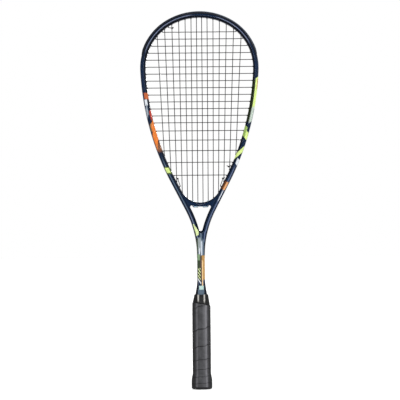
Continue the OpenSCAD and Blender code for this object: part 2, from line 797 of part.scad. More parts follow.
// Staple let into the flat of the skirt, with its legs in the pallet
module staple(fit) {
    r = staple_d / 2 + fit;
    y = pallet_depth / 2 + flare(staple_height)[1] - staple_d / 2 - 0.2;
    translate([0, -y, staple_height]) {
        rotate([0, 90, 0]) cylinder(r = r, h = staple_width + 2 * fit, center = true, $fn = 24);
        for (s = [-1, 1])
            translate([s * (staple_width - staple_d) / 2, 0, 0])
                rotate([-90, 0, 0]) cylinder(r = r, h = staple_leg + fit, $fn = 24);
    }
}

module staples(fit) {
    staple(fit);
    rotate([0, 0, 180]) staple(fit);
}

module butt_cap_staple_front() {
    color(steel) staple(0);
}

module butt_cap_staple_back() {
    color(steel) rotate([0, 0, 180]) staple(0);
}

module butt_cap() {
    skirt = [for (k = [0 : 8]) cap_full + (cap_skirt_top - cap_full) * k / 8];
    color(black) difference() {
        loft(concat(
            [for (r = cap_rings) level(r[0], r[1] * both)],
            [for (z = skirt) level(z, flare(z))]
        ));
        translate([0, 0, cap_floor]) linear_extrude(cap_skirt_top) polygon(octagon(cap_fit * both));
        staples(0.1);
        for (s = [0, 180]) rotate([0, 0, s])
            translate([0, -pallet_depth / 2 - flare(staple_height)[1], staple_height])
                cube([staple_width + 0.2, 1.4, staple_d + 0.2], center = true);
    }
}

module grip_tape() {
    n = len(tape_rings[0]);
    m = len(tape_rings);
    walls = [
        for (i = [0 : m - 2], j = [0 : n - 1])
            let (a = i * n + j, b = i * n + (j + 1) % n)
            each [[a, b, b + n], [a, b + n, a + n]]
    ];
    ends = [
        for (k = [0 : tape_stations - 2])
            let (a = k + 1, b = n - 2 - k, c = n - 1 - k, d = (m - 1) * n)
            each [[k, b, a], [k, c, b], [d + k, d + a, d + b], [d + k, d + b, d + c]]
    ];
    color(black) polyhedron([for (r = tape_rings, p = r) p], concat(walls, ends));
}

module grip_collar() {
    low = tape_top + tape_fit;
    color(black) difference() {
        loft([for (z = [low, pallet_top]) level(z, taper(z) + (collar_fit + collar_t) * both)]);
        loft([for (z = [low - 1, low, pallet_top, pallet_top + 1]) level(z, taper(z) + collar_fit * both)]);
    }
}

frame();
throat_bridge();
bumper_guard();
grommet_strip_left();
grommet_strip_right();
grommet_strip_throat();
main_string();
cross_string();
main_string_knots();
cross_string_knots();
handle_pallet_front();
handle_pallet_back();
butt_cap();
butt_cap_staple_front();
butt_cap_staple_back();
grip_tape();
grip_collar();
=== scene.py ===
# %% [markdown]
# # Dressing a squash racket
# The CAD model gives the racket's true sizes: a hollow moulded frame, a throat bridge, nylon strips,
# two strings and a wrapped handle. This lesson builds a finer skin for each of them in the same
# coordinates, so nothing has to be fitted by eye: x runs across the head, z up the handle, and the
# front looks along -y.

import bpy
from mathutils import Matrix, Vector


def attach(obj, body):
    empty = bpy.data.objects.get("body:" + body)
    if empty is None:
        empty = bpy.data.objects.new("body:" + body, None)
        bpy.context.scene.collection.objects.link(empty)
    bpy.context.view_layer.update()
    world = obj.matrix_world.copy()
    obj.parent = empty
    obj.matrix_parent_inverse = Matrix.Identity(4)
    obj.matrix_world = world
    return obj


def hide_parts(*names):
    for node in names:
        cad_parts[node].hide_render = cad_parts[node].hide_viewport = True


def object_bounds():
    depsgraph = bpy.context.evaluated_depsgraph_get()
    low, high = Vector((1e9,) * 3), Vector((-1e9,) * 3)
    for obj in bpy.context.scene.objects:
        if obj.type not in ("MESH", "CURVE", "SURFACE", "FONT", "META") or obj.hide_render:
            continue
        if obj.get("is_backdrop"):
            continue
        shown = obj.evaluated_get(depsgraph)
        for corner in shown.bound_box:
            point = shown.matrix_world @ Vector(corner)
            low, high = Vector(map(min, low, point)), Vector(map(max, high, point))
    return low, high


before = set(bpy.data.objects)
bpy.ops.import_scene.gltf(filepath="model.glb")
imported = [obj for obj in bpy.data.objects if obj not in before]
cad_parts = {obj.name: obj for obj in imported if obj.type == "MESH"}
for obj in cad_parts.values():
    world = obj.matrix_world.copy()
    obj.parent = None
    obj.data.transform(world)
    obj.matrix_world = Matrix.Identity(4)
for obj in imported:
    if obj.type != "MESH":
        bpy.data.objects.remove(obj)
cad_box = [list(corner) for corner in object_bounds()]

import math

import bmesh
import bpy
import numpy as np
from mathutils import Matrix, Vector
from numpy.linalg import norm

MM = 0.001
scene = bpy.context.scene
print("CAD nodes:", sorted(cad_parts))

# %% [markdown]
# ## Camera
# The picture was taken square on, from far away, with the racket leaning a little to the left. A long
# lens keeps the two sides of the head alike. The camera is placed by its own three axes, so that the
# lean is one small angle and no helper has to guess the picture's shape.

# %% Camera
PICTURE_HEIGHT = 726.4      # millimetres of the racket's plane that the picture covers
CAMERA_DISTANCE = 4000.0
LEAN = math.radians(0.475)
AIM = Vector((-0.00087, 0.0, 0.34335))

lens = bpy.data.cameras.new("long_lens")
lens.sensor_width = 36.0
lens.sensor_fit = "AUTO"
lens.lens = lens.sensor_width * CAMERA_DISTANCE / PICTURE_HEIGHT
lens.clip_end = 50.0
camera = bpy.data.objects.new("camera", lens)
scene.collection.objects.link(camera)
right = Vector((math.cos(LEAN), 0, -math.sin(LEAN)))
up = Vector((math.sin(LEAN), 0, math.cos(LEAN)))
back = right.cross(up)
turn = Matrix((right, up, back)).transposed().to_4x4()
camera.matrix_world = Matrix.Translation(AIM + back * CAMERA_DISTANCE * MM) @ turn
scene.camera = camera
print("camera at", tuple(round(c, 3) for c in camera.location))

# %% [markdown]
# ## Node helpers
# A material is a small machine of nodes. Writing every link by hand hides the idea, so one class adds
# and links nodes, and a second one has a short method for each kind of step in a material: a texture,
# some arithmetic, a soft edge. The colour is laid on coat by coat, as a painter does it: each coat has
# a colour and the share of it that shows.

# %% A class that adds and links nodes
class Nodes:
    def __init__(self, tree, stem):
        self.tree, self.stem = tree, stem

    def put(self, value, socket):
        if isinstance(value, bpy.types.NodeSocket):
            self.tree.links.new(value, socket)
        else:
            socket.default_value = value

    def add(self, kind, inputs=None, **settings):
        """Adds a node, named in full or without its stem, and returns its outputs."""
        node = self.tree.nodes.new(kind if "Node" in kind else self.stem + kind)
        for key, value in settings.items():
            setattr(node, key, value)
        for key, value in (inputs or {}).items():
            self.put(value, node.inputs[key])
        return node.outputs

    def calc(self, job, *numbers):
        return self.add("ShaderNodeMath", dict(enumerate(numbers)), operation=job)[0]

    def product(self, first, *others):
        for other in others:
            first = self.calc("MULTIPLY", first, other)
        return first


# %% A class that builds materials
def paint(red, green, blue):
    """A colour given as it looks on a screen, 0 to 255, turned into linear light."""
    parts = [c / 255 for c in (red, green, blue)]
    return tuple(c / 12.92 if c <= 0.04045 else ((c + 0.055) / 1.055) ** 2.4 for c in parts) + (1.0,)


def brighter(colour, factor, lift):
    return tuple(min(1.0, factor * c + lift) for c in colour[:3]) + (1.0,)


class Finish(Nodes):
    def __init__(self, name, colour, **sockets):
        self.material = bpy.data.materials.new(name)
        self.material.use_nodes = True
        super().__init__(self.material.node_tree, "ShaderNode")
        self.colour = colour
        self.set(**sockets)

    def set(self, **sockets):
        for socket, value in sockets.items():
            self.put(value, self.tree.nodes["Principled BSDF"].inputs[socket.replace("_", " ")])
        return self

    def place(self, stretch=(1, 1, 1)):
        """Object coordinates, in metres, stretched along each axis."""
        return self.add("Mapping", {"Vector": self.add("TexCoord")["Object"], "Scale": stretch})[0]

    def axes(self):
        """The three object coordinates, in millimetres."""
        return tuple(self.add("SeparateXYZ", {0: self.place((1 / MM,) * 3)}))

    def value(self, name):
        """A number stored on the mesh."""
        return self.add("Attribute", attribute_name=name)["Fac"]

    def step(self, a, low, high, start=0.0, end=1.0):
        """A soft step from start to end while a goes from low to high."""
        inputs = dict(enumerate((a, low, high, start, end)))
        return self.add("MapRange", inputs, interpolation_type="SMOOTHSTEP")[0]

    def window(self, a, low, high, soft):
        """One inside low to high, nought outside."""
        rise = self.step(a, low - soft, low + soft)
        return self.product(rise, self.step(a, high - soft, high + soft, 1.0, 0.0))

    def noise(self, scale, detail, roughness, stretch=(1, 1, 1)):
        inputs = {"Scale": scale, "Detail": detail, "Roughness": roughness}
        return self.add("TexNoise", {"Vector": self.place(stretch), **inputs})[0]

    def cells(self, scale):
        return self.add("TexVoronoi", {"Vector": self.place(), "Scale": scale})["Distance"]

    def bump(self, height, depth, strength, **under):
        inputs = {"Height": height, "Distance": depth, "Strength": strength}
        return self.add("Bump", {**inputs, **under})[0]

    def coat(self, colour, share):
        """Lays a colour over the present one."""
        self.colour = self.add("Mix", {0: share, 6: self.colour, 7: colour}, data_type="RGBA")[2]

    def done(self, **sockets):
        return self.set(Base_Color=self.colour, **sockets)


# %% [markdown]
# ## Mesh helpers
# Most pieces here are sweeps: a section that is carried along a path, ring after ring. One function
# joins the rings into faces, and another turns points in millimetres into a Blender object at the
# origin, with smooth shading that breaks only at real edges.

# %% Rings into faces, and points into objects
def ring_faces(rings, count, capped=True):
    """Quads between neighbouring rings of the same number of points, and a face at both ends."""
    faces = []
    for i in range(rings - 1):
        for j in range(count):
            a, b = i * count + j, i * count + (j + 1) % count
            faces.append((a, b, b + count, a + count))
    ends = [tuple(range(count)), tuple(range(count * (rings - 1), count * rings))]
    return faces + ends if capped else faces


WELD_DIGITS = 5             # decimals of a millimetre that tell two points apart


def make_piece(name, points, faces, finish, sharp, values=None):
    """Welds equal points, drops faces that fall together and makes an object."""
    points = np.asarray(points, float)
    kept, where, index = np.unique(
        np.round(points, WELD_DIGITS), axis=0, return_index=True, return_inverse=True
    )
    index = index.reshape(-1)
    solid = []
    for face in faces:
        loop = [int(index[v]) for v in face]
        loop = [v for n, v in enumerate(loop) if v != loop[n - 1]]
        if len(set(loop)) > 2:
            solid.append(loop)
    mesh = bpy.data.meshes.new(name)
    mesh.from_pydata([tuple(p * MM) for p in kept], [], solid)
    for key, numbers in (values or {}).items():
        layer = mesh.attributes.new(key, "FLOAT", "POINT")
        layer.data.foreach_set("value", np.asarray(numbers, np.float32)[where])
    box = bmesh.new()
    box.from_mesh(mesh)
    bmesh.ops.recalc_face_normals(box, faces=box.faces)
    box.to_mesh(mesh)
    box.free()
    return finish_piece(name, mesh, finish, sharp)


def finish_piece(name, mesh, finish, sharp):
    """Edges that turn by more than sharp degrees stay crisp."""
    mesh.name = name
    mesh.shade_smooth()
    mesh.set_sharp_from_angle(angle=math.radians(sharp))
    mesh.materials.clear()
    mesh.materials.append(finish.material)
    piece = bpy.data.objects.new(name, mesh)
    scene.collection.objects.link(piece)
    return piece


def dress(piece, slot, *nodes):
    """The piece moves with the racket and stands for CAD nodes, which it hides. The slot is not used."""
    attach(piece, "root")
    if nodes:
        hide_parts(*nodes)
    print(piece.name, "with", len(piece.data.polygons), "faces stands for", nodes)


# %% [markdown]
# ## The head's outline
# Seen from the front, the inner edge of the head is a chain of arcs that meet smoothly: a crown, a
# shoulder, a long flank and a straight arm, then a reverse arc into the shaft. A point is named by its
# run, the length along that edge from the top, and by how far out it lies. The same few radii make
# the frame, the bumper guard, the strips and the string holes.

# %% Arcs of the outline
RACKET_TOP = 686.0
BUMPER_T = 1.6
HEAD_WIDTH = 215.0
TUBE_WIDTH = 10.0
CROWN_R, CROWN_HALF, CROWN_SINE = 116.0, 30.0, 0.5
FLANK_HEADING, FLANK_R = 92.5, 490.0
ARM_ANGLE, FORK_R, SHAFT_HALF = 27.25, 180.0, 7.1
ARM_HEADING = 90.0 + ARM_ANGLE


def unit(heading):
    """Direction at a heading counted clockwise from straight up."""
    return np.array([math.sin(math.radians(heading)), math.cos(math.radians(heading))])


def along(heading):
    return np.array([math.cos(math.radians(heading)), -math.sin(math.radians(heading))])


arm_n, arm_t = unit(ARM_HEADING), along(ARM_HEADING)
shoulder_outer = (HEAD_WIDTH / 2 - CROWN_R * CROWN_SINE) / (1 - CROWN_SINE)
crown_c = np.array([0.0, RACKET_TOP - BUMPER_T - CROWN_R])
shoulder_c = crown_c + (CROWN_R - shoulder_outer) * unit(CROWN_HALF)
flank_c = shoulder_c + (shoulder_outer - FLANK_R) * unit(FLANK_HEADING)
crown_r, shoulder_r, flank_r = (r - TUBE_WIDTH for r in (CROWN_R, shoulder_outer, FLANK_R))
arm_p = flank_c + flank_r * arm_n
fork_in = FORK_R + TUBE_WIDTH
arm_length = (arm_p[0] + fork_in * arm_n[0] - SHAFT_HALF - FORK_R) / -arm_n[1]
fork_c = arm_p + arm_length * arm_t + fork_in * arm_n
run_crown = crown_r * math.radians(CROWN_HALF)
run_shoulder = run_crown + shoulder_r * math.radians(FLANK_HEADING - CROWN_HALF)
run_flank = run_shoulder + flank_r * math.radians(ARM_HEADING - FLANK_HEADING)
run_fork = run_flank + arm_length
run_shaft = run_fork + fork_in * math.radians(ARM_ANGLE)

# (run at the start, heading at the start, centre, inner radius)
ARCS = [
    (0.0, 0.0, crown_c, crown_r),
    (run_crown, CROWN_HALF, shoulder_c, shoulder_r),
    (run_shoulder, FLANK_HEADING, flank_c, flank_r),
]


def hoop_heading(run):
    if run >= run_flank:
        return ARM_HEADING
    start, heading, _, radius = [arc for arc in ARCS if run >= arc[0]][-1]
    return heading + math.degrees((run - start) / radius)


def hoop_point(run, out):
    """A point of the right half of the head, on the plane of the strings."""
    if run >= run_flank:
        return arm_p + (run - run_flank) * arm_t + out * arm_n
    _, _, centre, radius = [arc for arc in ARCS if run >= arc[0]][-1]
    return centre + (radius + out) * unit(hoop_heading(run))


print("inner edge from the top to the shaft: %.1f mm" % run_shaft)

# %% [markdown]
# ## The tube's section
# The moulded tube is 10 mm wide and 20 mm deep. Its inner face is steep and its outer face leans
# gently, with a soft ridge between them that catches the light as one thin line. Each face is drawn
# as a few corners that are then cut off again and again, which is the simplest way to a smooth curve.

# %% Depth of the tube against the distance from its edges
def cut_corners(corners, times=3):
    line = np.array(corners, float)
    for _ in range(times):
        cuts = np.stack([0.75 * line[:-1] + 0.25 * line[1:], 0.25 * line[:-1] + 0.75 * line[1:]], 1)
        line = np.concatenate([line[:1], cuts.reshape(-1, 2), line[-1:]])
    return line


EDGE_DEPTH = 5.0
INNER_FACE = cut_corners([(0, EDGE_DEPTH), (0.3, 6.3), (2.9, 9.55), (4.2, 10.0), (30, 10.0)])
OUTER_FACE = cut_corners([(0, EDGE_DEPTH), (0.3, 6.4), (1.7, 8.75), (5.2, 10.0), (30, 10.0)])
RIDGE_BLEND = 0.5


def softer(a, b, blend):
    """The lower of two heights, with the crease between them rounded off."""
    near = np.maximum(blend - np.abs(a - b), 0) / blend
    return np.minimum(a, b) - near * near * blend / 4


def depth_at(from_inner, from_outer):
    """Half depth of the tube."""
    inner = np.interp(from_inner, *INNER_FACE.T)
    return softer(inner, np.interp(from_outer, *OUTER_FACE.T), RIDGE_BLEND)


ACROSS = np.array([
    0, 0.12, 0.3, 0.6, 1, 1.5, 2, 2.5, 3, 3.5, 4, 4.6, 5.4, 6.4, 7.4, 8.1, 8.7, 9.2, 9.6, 9.85, 10
]) / TUBE_WIDTH
print("ridge at half depth %.2f mm" % depth_at(4.2, 5.8))

# %% [markdown]
# ## The frame, ring by ring
# Every ring is a straight line from the inner edge to the outer edge, lifted by the section's depth.
# Where the two arms meet, the inner end of a ring follows the rounded bottom of the throat opening and
# then the racket's axis, so both halves close without a seam. Modelling this with joined tubes would
# leave a sharp crease there.

# %% Rings of the right half
GROOVE_DEPTH, RUN_GROOVE, GROOVE_FADE = 3.6, 410.5, 3
FLOOR_OUT = TUBE_WIDTH - GROOVE_DEPTH
THROAT_R = 3.2
FLARE_TOP, FLARE_END, FLARE_CURVE, FLARE_INSET = 212.0, 172.0, 186.0, 0.6
FLARE_WIDER, FLARE_DEEPER = 4.0, 0.18       # the flare is so much deeper where it is so much wider
FINE_FROM, FINE_TO = 106, 101               # headings of the round bottom, where rings lie close
FINE_Z = 214                                # below this height, so do the rings of the shaft
throat_c = np.array([0.0, fork_c[1] + math.sqrt((fork_in + THROAT_R) ** 2 - fork_c[0] ** 2)])
fork_way = fork_c - throat_c
fork_round = math.degrees(math.atan2(*fork_way))


def is_beside(v, w):
    """Whether directions v lie clockwise of w."""
    return v[..., 0] * w[1] - v[..., 1] * w[0] > 0


def from_opening(p):
    """Distance from the edge of the throat opening."""
    at_bottom = norm(p - throat_c, axis=-1) - THROAT_R
    at_wall = fork_in - norm(p - fork_c, axis=-1)
    return np.where(is_beside(p - throat_c, fork_way), at_bottom, at_wall)


def fork_start(heading):
    """Where a ring of the fork starts: on the inner wall, the round bottom or the axis."""
    n = unit(heading)
    reach = fork_in
    if heading < fork_round:
        reach = fork_c[0] / n[0]
        b = fork_way @ n
        inside = b * b - (fork_way @ fork_way - THROAT_R**2)
        if inside > 0:
            reach = min(reach, b - math.sqrt(inside))
    return fork_c - reach * n


def shaft_half(z):
    """Half width of the shaft, which flares in a hollow curve above the handle."""
    if not FLARE_END <= z < FLARE_TOP:
        return SHAFT_HALF
    rise = FLARE_CURVE - math.sqrt(FLARE_CURVE**2 - (FLARE_TOP - z) ** 2)
    return max(SHAFT_HALF, SHAFT_HALF - FLARE_INSET + rise)


rings = []          # (inner end, outer end, run, groove depth, depth factor, whether near the opening)
for run in np.concatenate([np.arange(0, run_shoulder, 1.5), np.arange(run_shoulder, run_fork, 2.5)]):
    deep = GROOVE_DEPTH * float(np.clip((RUN_GROOVE - run) / GROOVE_FADE + 0.5, 0, 1))
    rings.append((hoop_point(run, 0), hoop_point(run, TUBE_WIDTH), run, deep, 1.0, False))
headings = [np.arange(ARM_HEADING, FINE_FROM, -0.4), np.arange(FINE_FROM, FINE_TO, -0.1)]
for heading in np.concatenate(headings + [np.arange(FINE_TO, 90, -0.5)]):
    run = run_fork + fork_in * math.radians(ARM_HEADING - heading)
    rings.append((fork_start(heading), fork_c - FORK_R * unit(heading), run, 0.0, 1.0, True))
heights = [np.arange(fork_c[1], FINE_Z, -3.0), np.arange(FINE_Z, FLARE_END, -1.5)]
for z in np.concatenate(heights + [[FLARE_END, FLARE_END - 0.01, 120.0, 60.0, 4.0]]):
    wide = shaft_half(z)
    deeper = 1 + FLARE_DEEPER * (wide - SHAFT_HALF) / FLARE_WIDER
    rings.append((np.array([0.0, z]), np.array([wide, z]), run_shaft + fork_c[1] - z, 0.0, deeper, True))
print("rings of the right half:", len(rings), "throat bottom at z = %.1f" % (throat_c[1] - THROAT_R))

# %% Points of the rings
# (inset from the outer edge, half depth), where the edge is EDGE_DEPTH deep
OUTER_WALL = [(0, 3.7), (0, 2.65), (0.12, 2.42), (0.4, 2.3)]
OUTER_WALL += [(GROOVE_DEPTH - 0.3, 2.22), (GROOVE_DEPTH, 2.0)]
OUTER_WALL += [(inset, -h) for inset, h in reversed(OUTER_WALL)]
INNER_WALL = [-2.5, 0.0, 2.5]


def ring_points(inner, outer, run, groove, deeper, near_opening):
    line = inner + ACROSS[:, None] * (outer - inner)
    width = float(norm(outer - inner))
    scale = SHAFT_HALF / outer[0] if inner[1] < fork_c[1] else 1.0
    gap_in = from_opening(line) if near_opening else ACROSS * width
    lift = depth_at(np.maximum(gap_in, 0), (1 - ACROSS) * width * scale) * deeper
    out = (outer - inner) / width
    front = [(p[0], -h, p[1]) for p, h in zip(line, lift)]
    wall = []
    for inset, h in OUTER_WALL:
        q = outer - out * min(inset, groove)
        wall.append((q[0], -h * lift[-1] / EDGE_DEPTH, q[1]))
    inside = [(inner[0], -h * lift[0] / EDGE_DEPTH, inner[1]) for h in INNER_WALL]
    return front + wall + [(x, -y, z) for x, y, z in reversed(front)] + inside


loop = len(ACROSS) * 2 + len(OUTER_WALL) + len(INNER_WALL)
side_points = np.array([p for ring in rings for p in ring_points(*ring)])
ring_across = np.concatenate([ACROSS, np.ones(len(OUTER_WALL)), ACROSS[::-1], np.zeros(len(INNER_WALL))])
closed_from = next(i for i, ring in enumerate(rings) if ring[5] and ring[0][0] < 1e-6)
to_axis = loop - len(INNER_WALL) - 1
side_faces = [
    face for n, face in enumerate(ring_faces(len(rings), loop, False))
    if n % loop < to_axis or n // loop < closed_from
]
side_faces.append(tuple(range((len(rings) - 1) * loop, len(rings) * loop)))
print("one side of the frame:", len(side_points), "points, closed on the axis from ring", closed_from)

# %% [markdown]
# ## Lacquer
# The frame is painted navy under a clear coat, with slanted flashes of orange, yellow-green and white.
# Each flash is a soft-edged window in two numbers that are stored on the mesh: the run along the frame
# and the place across the tube. Because the paint follows the surface, it also wraps round the back.
# The same windows also paint light and shade into the lacquer. The steep inner face, the crown's outer
# band and the arms' outer edges are painted near black as shade. Pale lines and bands along the crown's
# ridge and down the arms are painted highlights.

# %% Colours of the flashes, the painted highlights and the painted shade
NAVY, NAVY_LIGHT, SHADE_INK = paint(3, 26, 52), paint(6, 33, 64), paint(2, 8, 22)
ORANGE, RUST, BURNT = paint(228, 126, 54), paint(190, 98, 56), paint(178, 116, 72)
BROWN, UMBER, RUSSET = paint(140, 108, 72), paint(84, 74, 66), paint(98, 58, 30)
AMBER, HIGHLIGHT_HONEY, PEACH = paint(182, 140, 80), paint(244, 206, 154), paint(228, 166, 114)
BRONZE, RED, CREAM = paint(186, 142, 76), paint(182, 66, 52), paint(219, 233, 170)
OLIVE, MOSS, FOREST = paint(24, 34, 8), paint(58, 72, 50), paint(76, 92, 46)
LIME, LEAF, FERN = paint(214, 236, 142), paint(150, 180, 94), paint(128, 156, 118)
HIGHLIGHT_DUSK, SLATE, HIGHLIGHT_FROST = paint(90, 104, 134), paint(88, 104, 120), paint(116, 126, 152)
HIGHLIGHT_PEWTER, SILVER, HIGHLIGHT_WHITE = paint(148, 158, 160), paint(150, 160, 172), paint(202, 211, 222)
WHITE, PALE, MINT = paint(222, 228, 234), paint(188, 202, 190), paint(184, 212, 206)

# (colour, side, run from, run to, slant over the tube's width, across from, across to, softness)
HEAD_FLASHES = [
    # Painted shade: the outer band and the inner face of the crown and shoulders are painted near black.
    (SHADE_INK, -1, -20.0, 132.0, 0.0, 0.62, 0.98, 12.0),
    (SHADE_INK, 1, -20.0, 132.0, 0.0, 0.62, 0.98, 12.0),
    (SHADE_INK, -1, 10.0, 135.0, 0.0, -0.2, 0.42, 9.0),
    (SHADE_INK, 1, 30.0, 120.0, 0.0, -0.2, 0.42, 9.0),
    # Painted highlight: a pale line along the ridge of the crown and shoulders, where a lamp would catch it.
    (HIGHLIGHT_FROST, -1, 14.0, 118.0, 0.0, 0.455, 0.565, 6.0),
    (HIGHLIGHT_FROST, 1, 32.0, 104.0, 0.0, 0.43, 0.54, 6.0),
    # Painted highlights: a lighter band down the middle of each arm, the left one ending in a pale line.
    # Painted shade: both arms' outer edges are painted near black.
    (SLATE, -1, 318.0, 425.0, 0.0, 0.50, 0.66, 12.0),
    (HIGHLIGHT_FROST, -1, 425.0, 560.0, 0.0, 0.52, 0.68, 12.0),
    (HIGHLIGHT_DUSK, 1, 332.0, 560.0, 0.0, 0.54, 0.74, 9.0),
    (SHADE_INK, -1, 332.0, 560.0, 0.0, 0.84, 1.2, 9.0),
    (SHADE_INK, 1, 332.0, 560.0, 0.0, 0.86, 1.2, 9.0),
    (RUST, -1, 193.0, 204.5, 2.0, -0.2, 0.74, 0.5),
    (WHITE, -1, 205.0, 216.0, 0.0, 0.34, 0.80, 0.6),
    (SILVER, -1, 212.0, 230.0, -24.0, 0.50, 0.90, 0.6),
    (RED, -1, 229.0, 246.0, -10.0, -0.2, 0.34, 0.6),
    (BROWN, -1, 248.0, 262.0, -8.0, 0.40, 0.84, 0.8),
    (ORANGE, -1, 251.0, 276.0, -18.0, -0.2, 0.62, 0.6),
    (ORANGE, -1, 262.0, 291.0, -24.0, -0.2, 0.86, 0.6),
    (FOREST, -1, 332.0, 346.0, 4.0, -0.2, 0.90, 0.8),
    (LIME, -1, 333.5, 343.5, 4.0, 0.22, 0.86, 0.8),
    # Painted shade: the inner half of the right lime stripe is olive, lime as it looks in shadow.
    (OLIVE, 1, 170.0, 246.0, 8.0, -0.2, 0.56, 0.6),
    (LIME, 1, 169.0, 226.0, 8.0, 0.56, 1.0, 0.6),
    (BRONZE, 1, 170.0, 189.0, 4.0, 0.84, 1.2, 0.8),
    (PALE, 1, 222.0, 250.0, 10.0, 0.50, 0.94, 1.5),
    (LEAF, 1, 257.5, 277.0, -6.0, -0.2, 0.54, 0.5),
    (LIME, 1, 264.0, 277.5, -6.0, 0.50, 0.96, 0.5),
    (LIME, 1, 299.0, 311.0, 18.0, -0.2, 0.95, 0.5),
    (WHITE, 1, 315.0, 326.0, -6.0, 0.52, 0.96, 0.5),
    (RUSSET, 1, 361.0, 377.0, 4.0, 0.14, 0.54, 0.8),
    (PEACH, 1, 363.0, 379.0, 4.0, 0.50, 0.84, 0.8),
    # Painted highlight: a white line on the ridge of the right arm.
    (WHITE, 1, 379.0, 400.0, 0.0, 0.57, 0.69, 4.0),
]
ACROSS_SOFT = 0.04

# %% The lacquer's paint
lacquer = Finish(
    "frame_lacquer", NAVY, Roughness=0.3, Coat_Weight=0.1, Coat_Roughness=0.08, Specular_IOR_Level=0.03
)
run, across = lacquer.value("run"), lacquer.value("across")
x_mm, _, z_mm = lacquer.axes()
lacquer.coat(NAVY_LIGHT, lacquer.step(lacquer.noise(38, 3.0, 0.55), 0.35, 0.7))
# Painted shade: above the throat, the steep inner face of the tube is painted near black, as if it lay in
# shadow.
above_throat = lacquer.step(z_mm, 281.5, 283.5)
lacquer.coat(SHADE_INK, lacquer.product(lacquer.step(across, 0.24, 0.40, 0.85, 0.0), above_throat))
for colour, side, start, end, slant, low, high, soft in HEAD_FLASHES:
    leaning = lacquer.calc("MULTIPLY_ADD", across, slant, -slant / 2)
    moved = lacquer.calc("ADD", lacquer.product(run, side), leaning)
    over = lacquer.window(across, low, high, ACROSS_SOFT)
    lacquer.coat(colour, lacquer.product(lacquer.window(moved, start, end, soft), over))
print("flashes on the head:", len(HEAD_FLASHES))

# %% [markdown]
# The shaft is straight, so its paint is placed in plain x and z: green on the left, an orange stripe on
# the right and two bands above the handle. Light and shade are painted on it too. The silver panels and
# the bright stripe below the throat, and the pale streak on the orange stripe, are painted highlights.
# The right edge and both sides of the flare are painted near black as shade. A lime wedge and a row of
# plain slashes lean, so they use z moved in step with x. The orange on the left arm ends in a spray of
# speckles, which is a noise inside a soft window of the run.

# %% Paint of the throat and the shaft
# (colour, x from, x to, z from, z to, softness of the sides, softness of the ends)
SHAFT_FLASHES = [
    (SLATE, -1.8, 2.4, 262.0, 283.0, 0.7, 1.5),
    (MOSS, -7.8, -5.0, 219.0, 274.0, 0.5, 2.0),
    (MOSS, -7.8, -1.9, 219.0, 236.0, 0.5, 1.0),
    # Painted highlight below the throat: silver panels either side of a bright stripe down the middle.
    # Painted shade: the right edge is painted near black.
    (HIGHLIGHT_PEWTER, -5.2, 0.2, 250.0, 275.0, 0.7, 2.0),
    (SLATE, 1.8, 5.8, 243.0, 272.0, 0.7, 2.5),
    (SHADE_INK, 5.7, 9.0, 243.4, 266.0, 0.5, 2.0),
    (HIGHLIGHT_WHITE, 0.0, 2.6, 243.0, 269.0, 0.8, 2.5),
    (WHITE, -3.5, -1.5, 243.0, 256.0, 0.4, 2.0),
    (FERN, -6.4, -1.9, 234.0, 245.0, 0.5, 1.0),
    (UMBER, -1.9, 2.0, 198.0, 242.4, 0.4, 0.5),
    (AMBER, 1.6, 7.8, 199.0, 243.0, 0.3, 0.5),
    # Painted highlight: a pale streak on the orange stripe.
    (HIGHLIGHT_HONEY, 1.7, 3.5, 187.0, 234.0, 0.4, 2.0),
    (OLIVE, -6.0, -1.0, 196.0, 220.0, 0.4, 0.5),
    # Painted shade: both sides of the flare above the handle are painted near black.
    (SHADE_INK, -12.0, -5.0, 170.0, 196.0, 0.6, 0.5),
    (SHADE_INK, 5.2, 12.0, 170.0, 199.0, 0.6, 0.5),
    (MINT, -3.8, 4.6, 180.6, 188.0, 0.5, 0.8),
    (SLATE, -5.9, 5.4, 170.0, 180.8, 0.5, 0.8),
]
for colour, left, far, low, high, side_soft, end_soft in SHAFT_FLASHES:
    over = lacquer.window(x_mm, left, far, side_soft)
    lacquer.coat(colour, lacquer.product(lacquer.window(z_mm, low, high, end_soft), over))


def slanted(lean):
    """z moved by so many millimetres for each millimetre of x."""
    return lacquer.calc("MULTIPLY_ADD", x_mm, lean, z_mm)


SLASH_START, SLASH_HALF = 189.0, 3.075
stripes = lacquer.calc("PINGPONG", lacquer.calc("SUBTRACT", slanted(1.5), SLASH_START), SLASH_HALF)
on_slash = lacquer.product(lacquer.window(z_mm, 196.0, 220.0, 0.4), lacquer.window(x_mm, -5.8, -1.0, 0.3))
lacquer.coat(CREAM, lacquer.product(on_slash, lacquer.step(stripes, 1.4, 1.9)))
last_slash = lacquer.window(slanted(1.53), 190.2, 193.6, 0.4)
lacquer.coat(WHITE, lacquer.product(last_slash, lacquer.window(x_mm, -5.6, -0.1, 0.3)))
wedge = lacquer.product(
    lacquer.step(slanted(1.49), 280.6, 281.6, 1.0, 0.0),
    lacquer.step(slanted(-0.7), 282.8, 284.0),
    lacquer.step(x_mm, -4.4, -3.2, 1.0, 0.0),
    lacquer.window(across, 0.16, 0.77, ACROSS_SOFT),
    lacquer.window(z_mm, 270.0, 300.0, 0.5),
)
lacquer.coat(CREAM, wedge)
spray = lacquer.step(lacquer.noise(900, 2.0, 0.6), 0.42, 0.5)
fading = lacquer.window(lacquer.product(run, -1.0), 288.0, 302.0, 4.0)
lacquer.coat(BURNT, lacquer.product(spray, fading, lacquer.window(across, -0.2, 0.8, 0.05), 0.75))

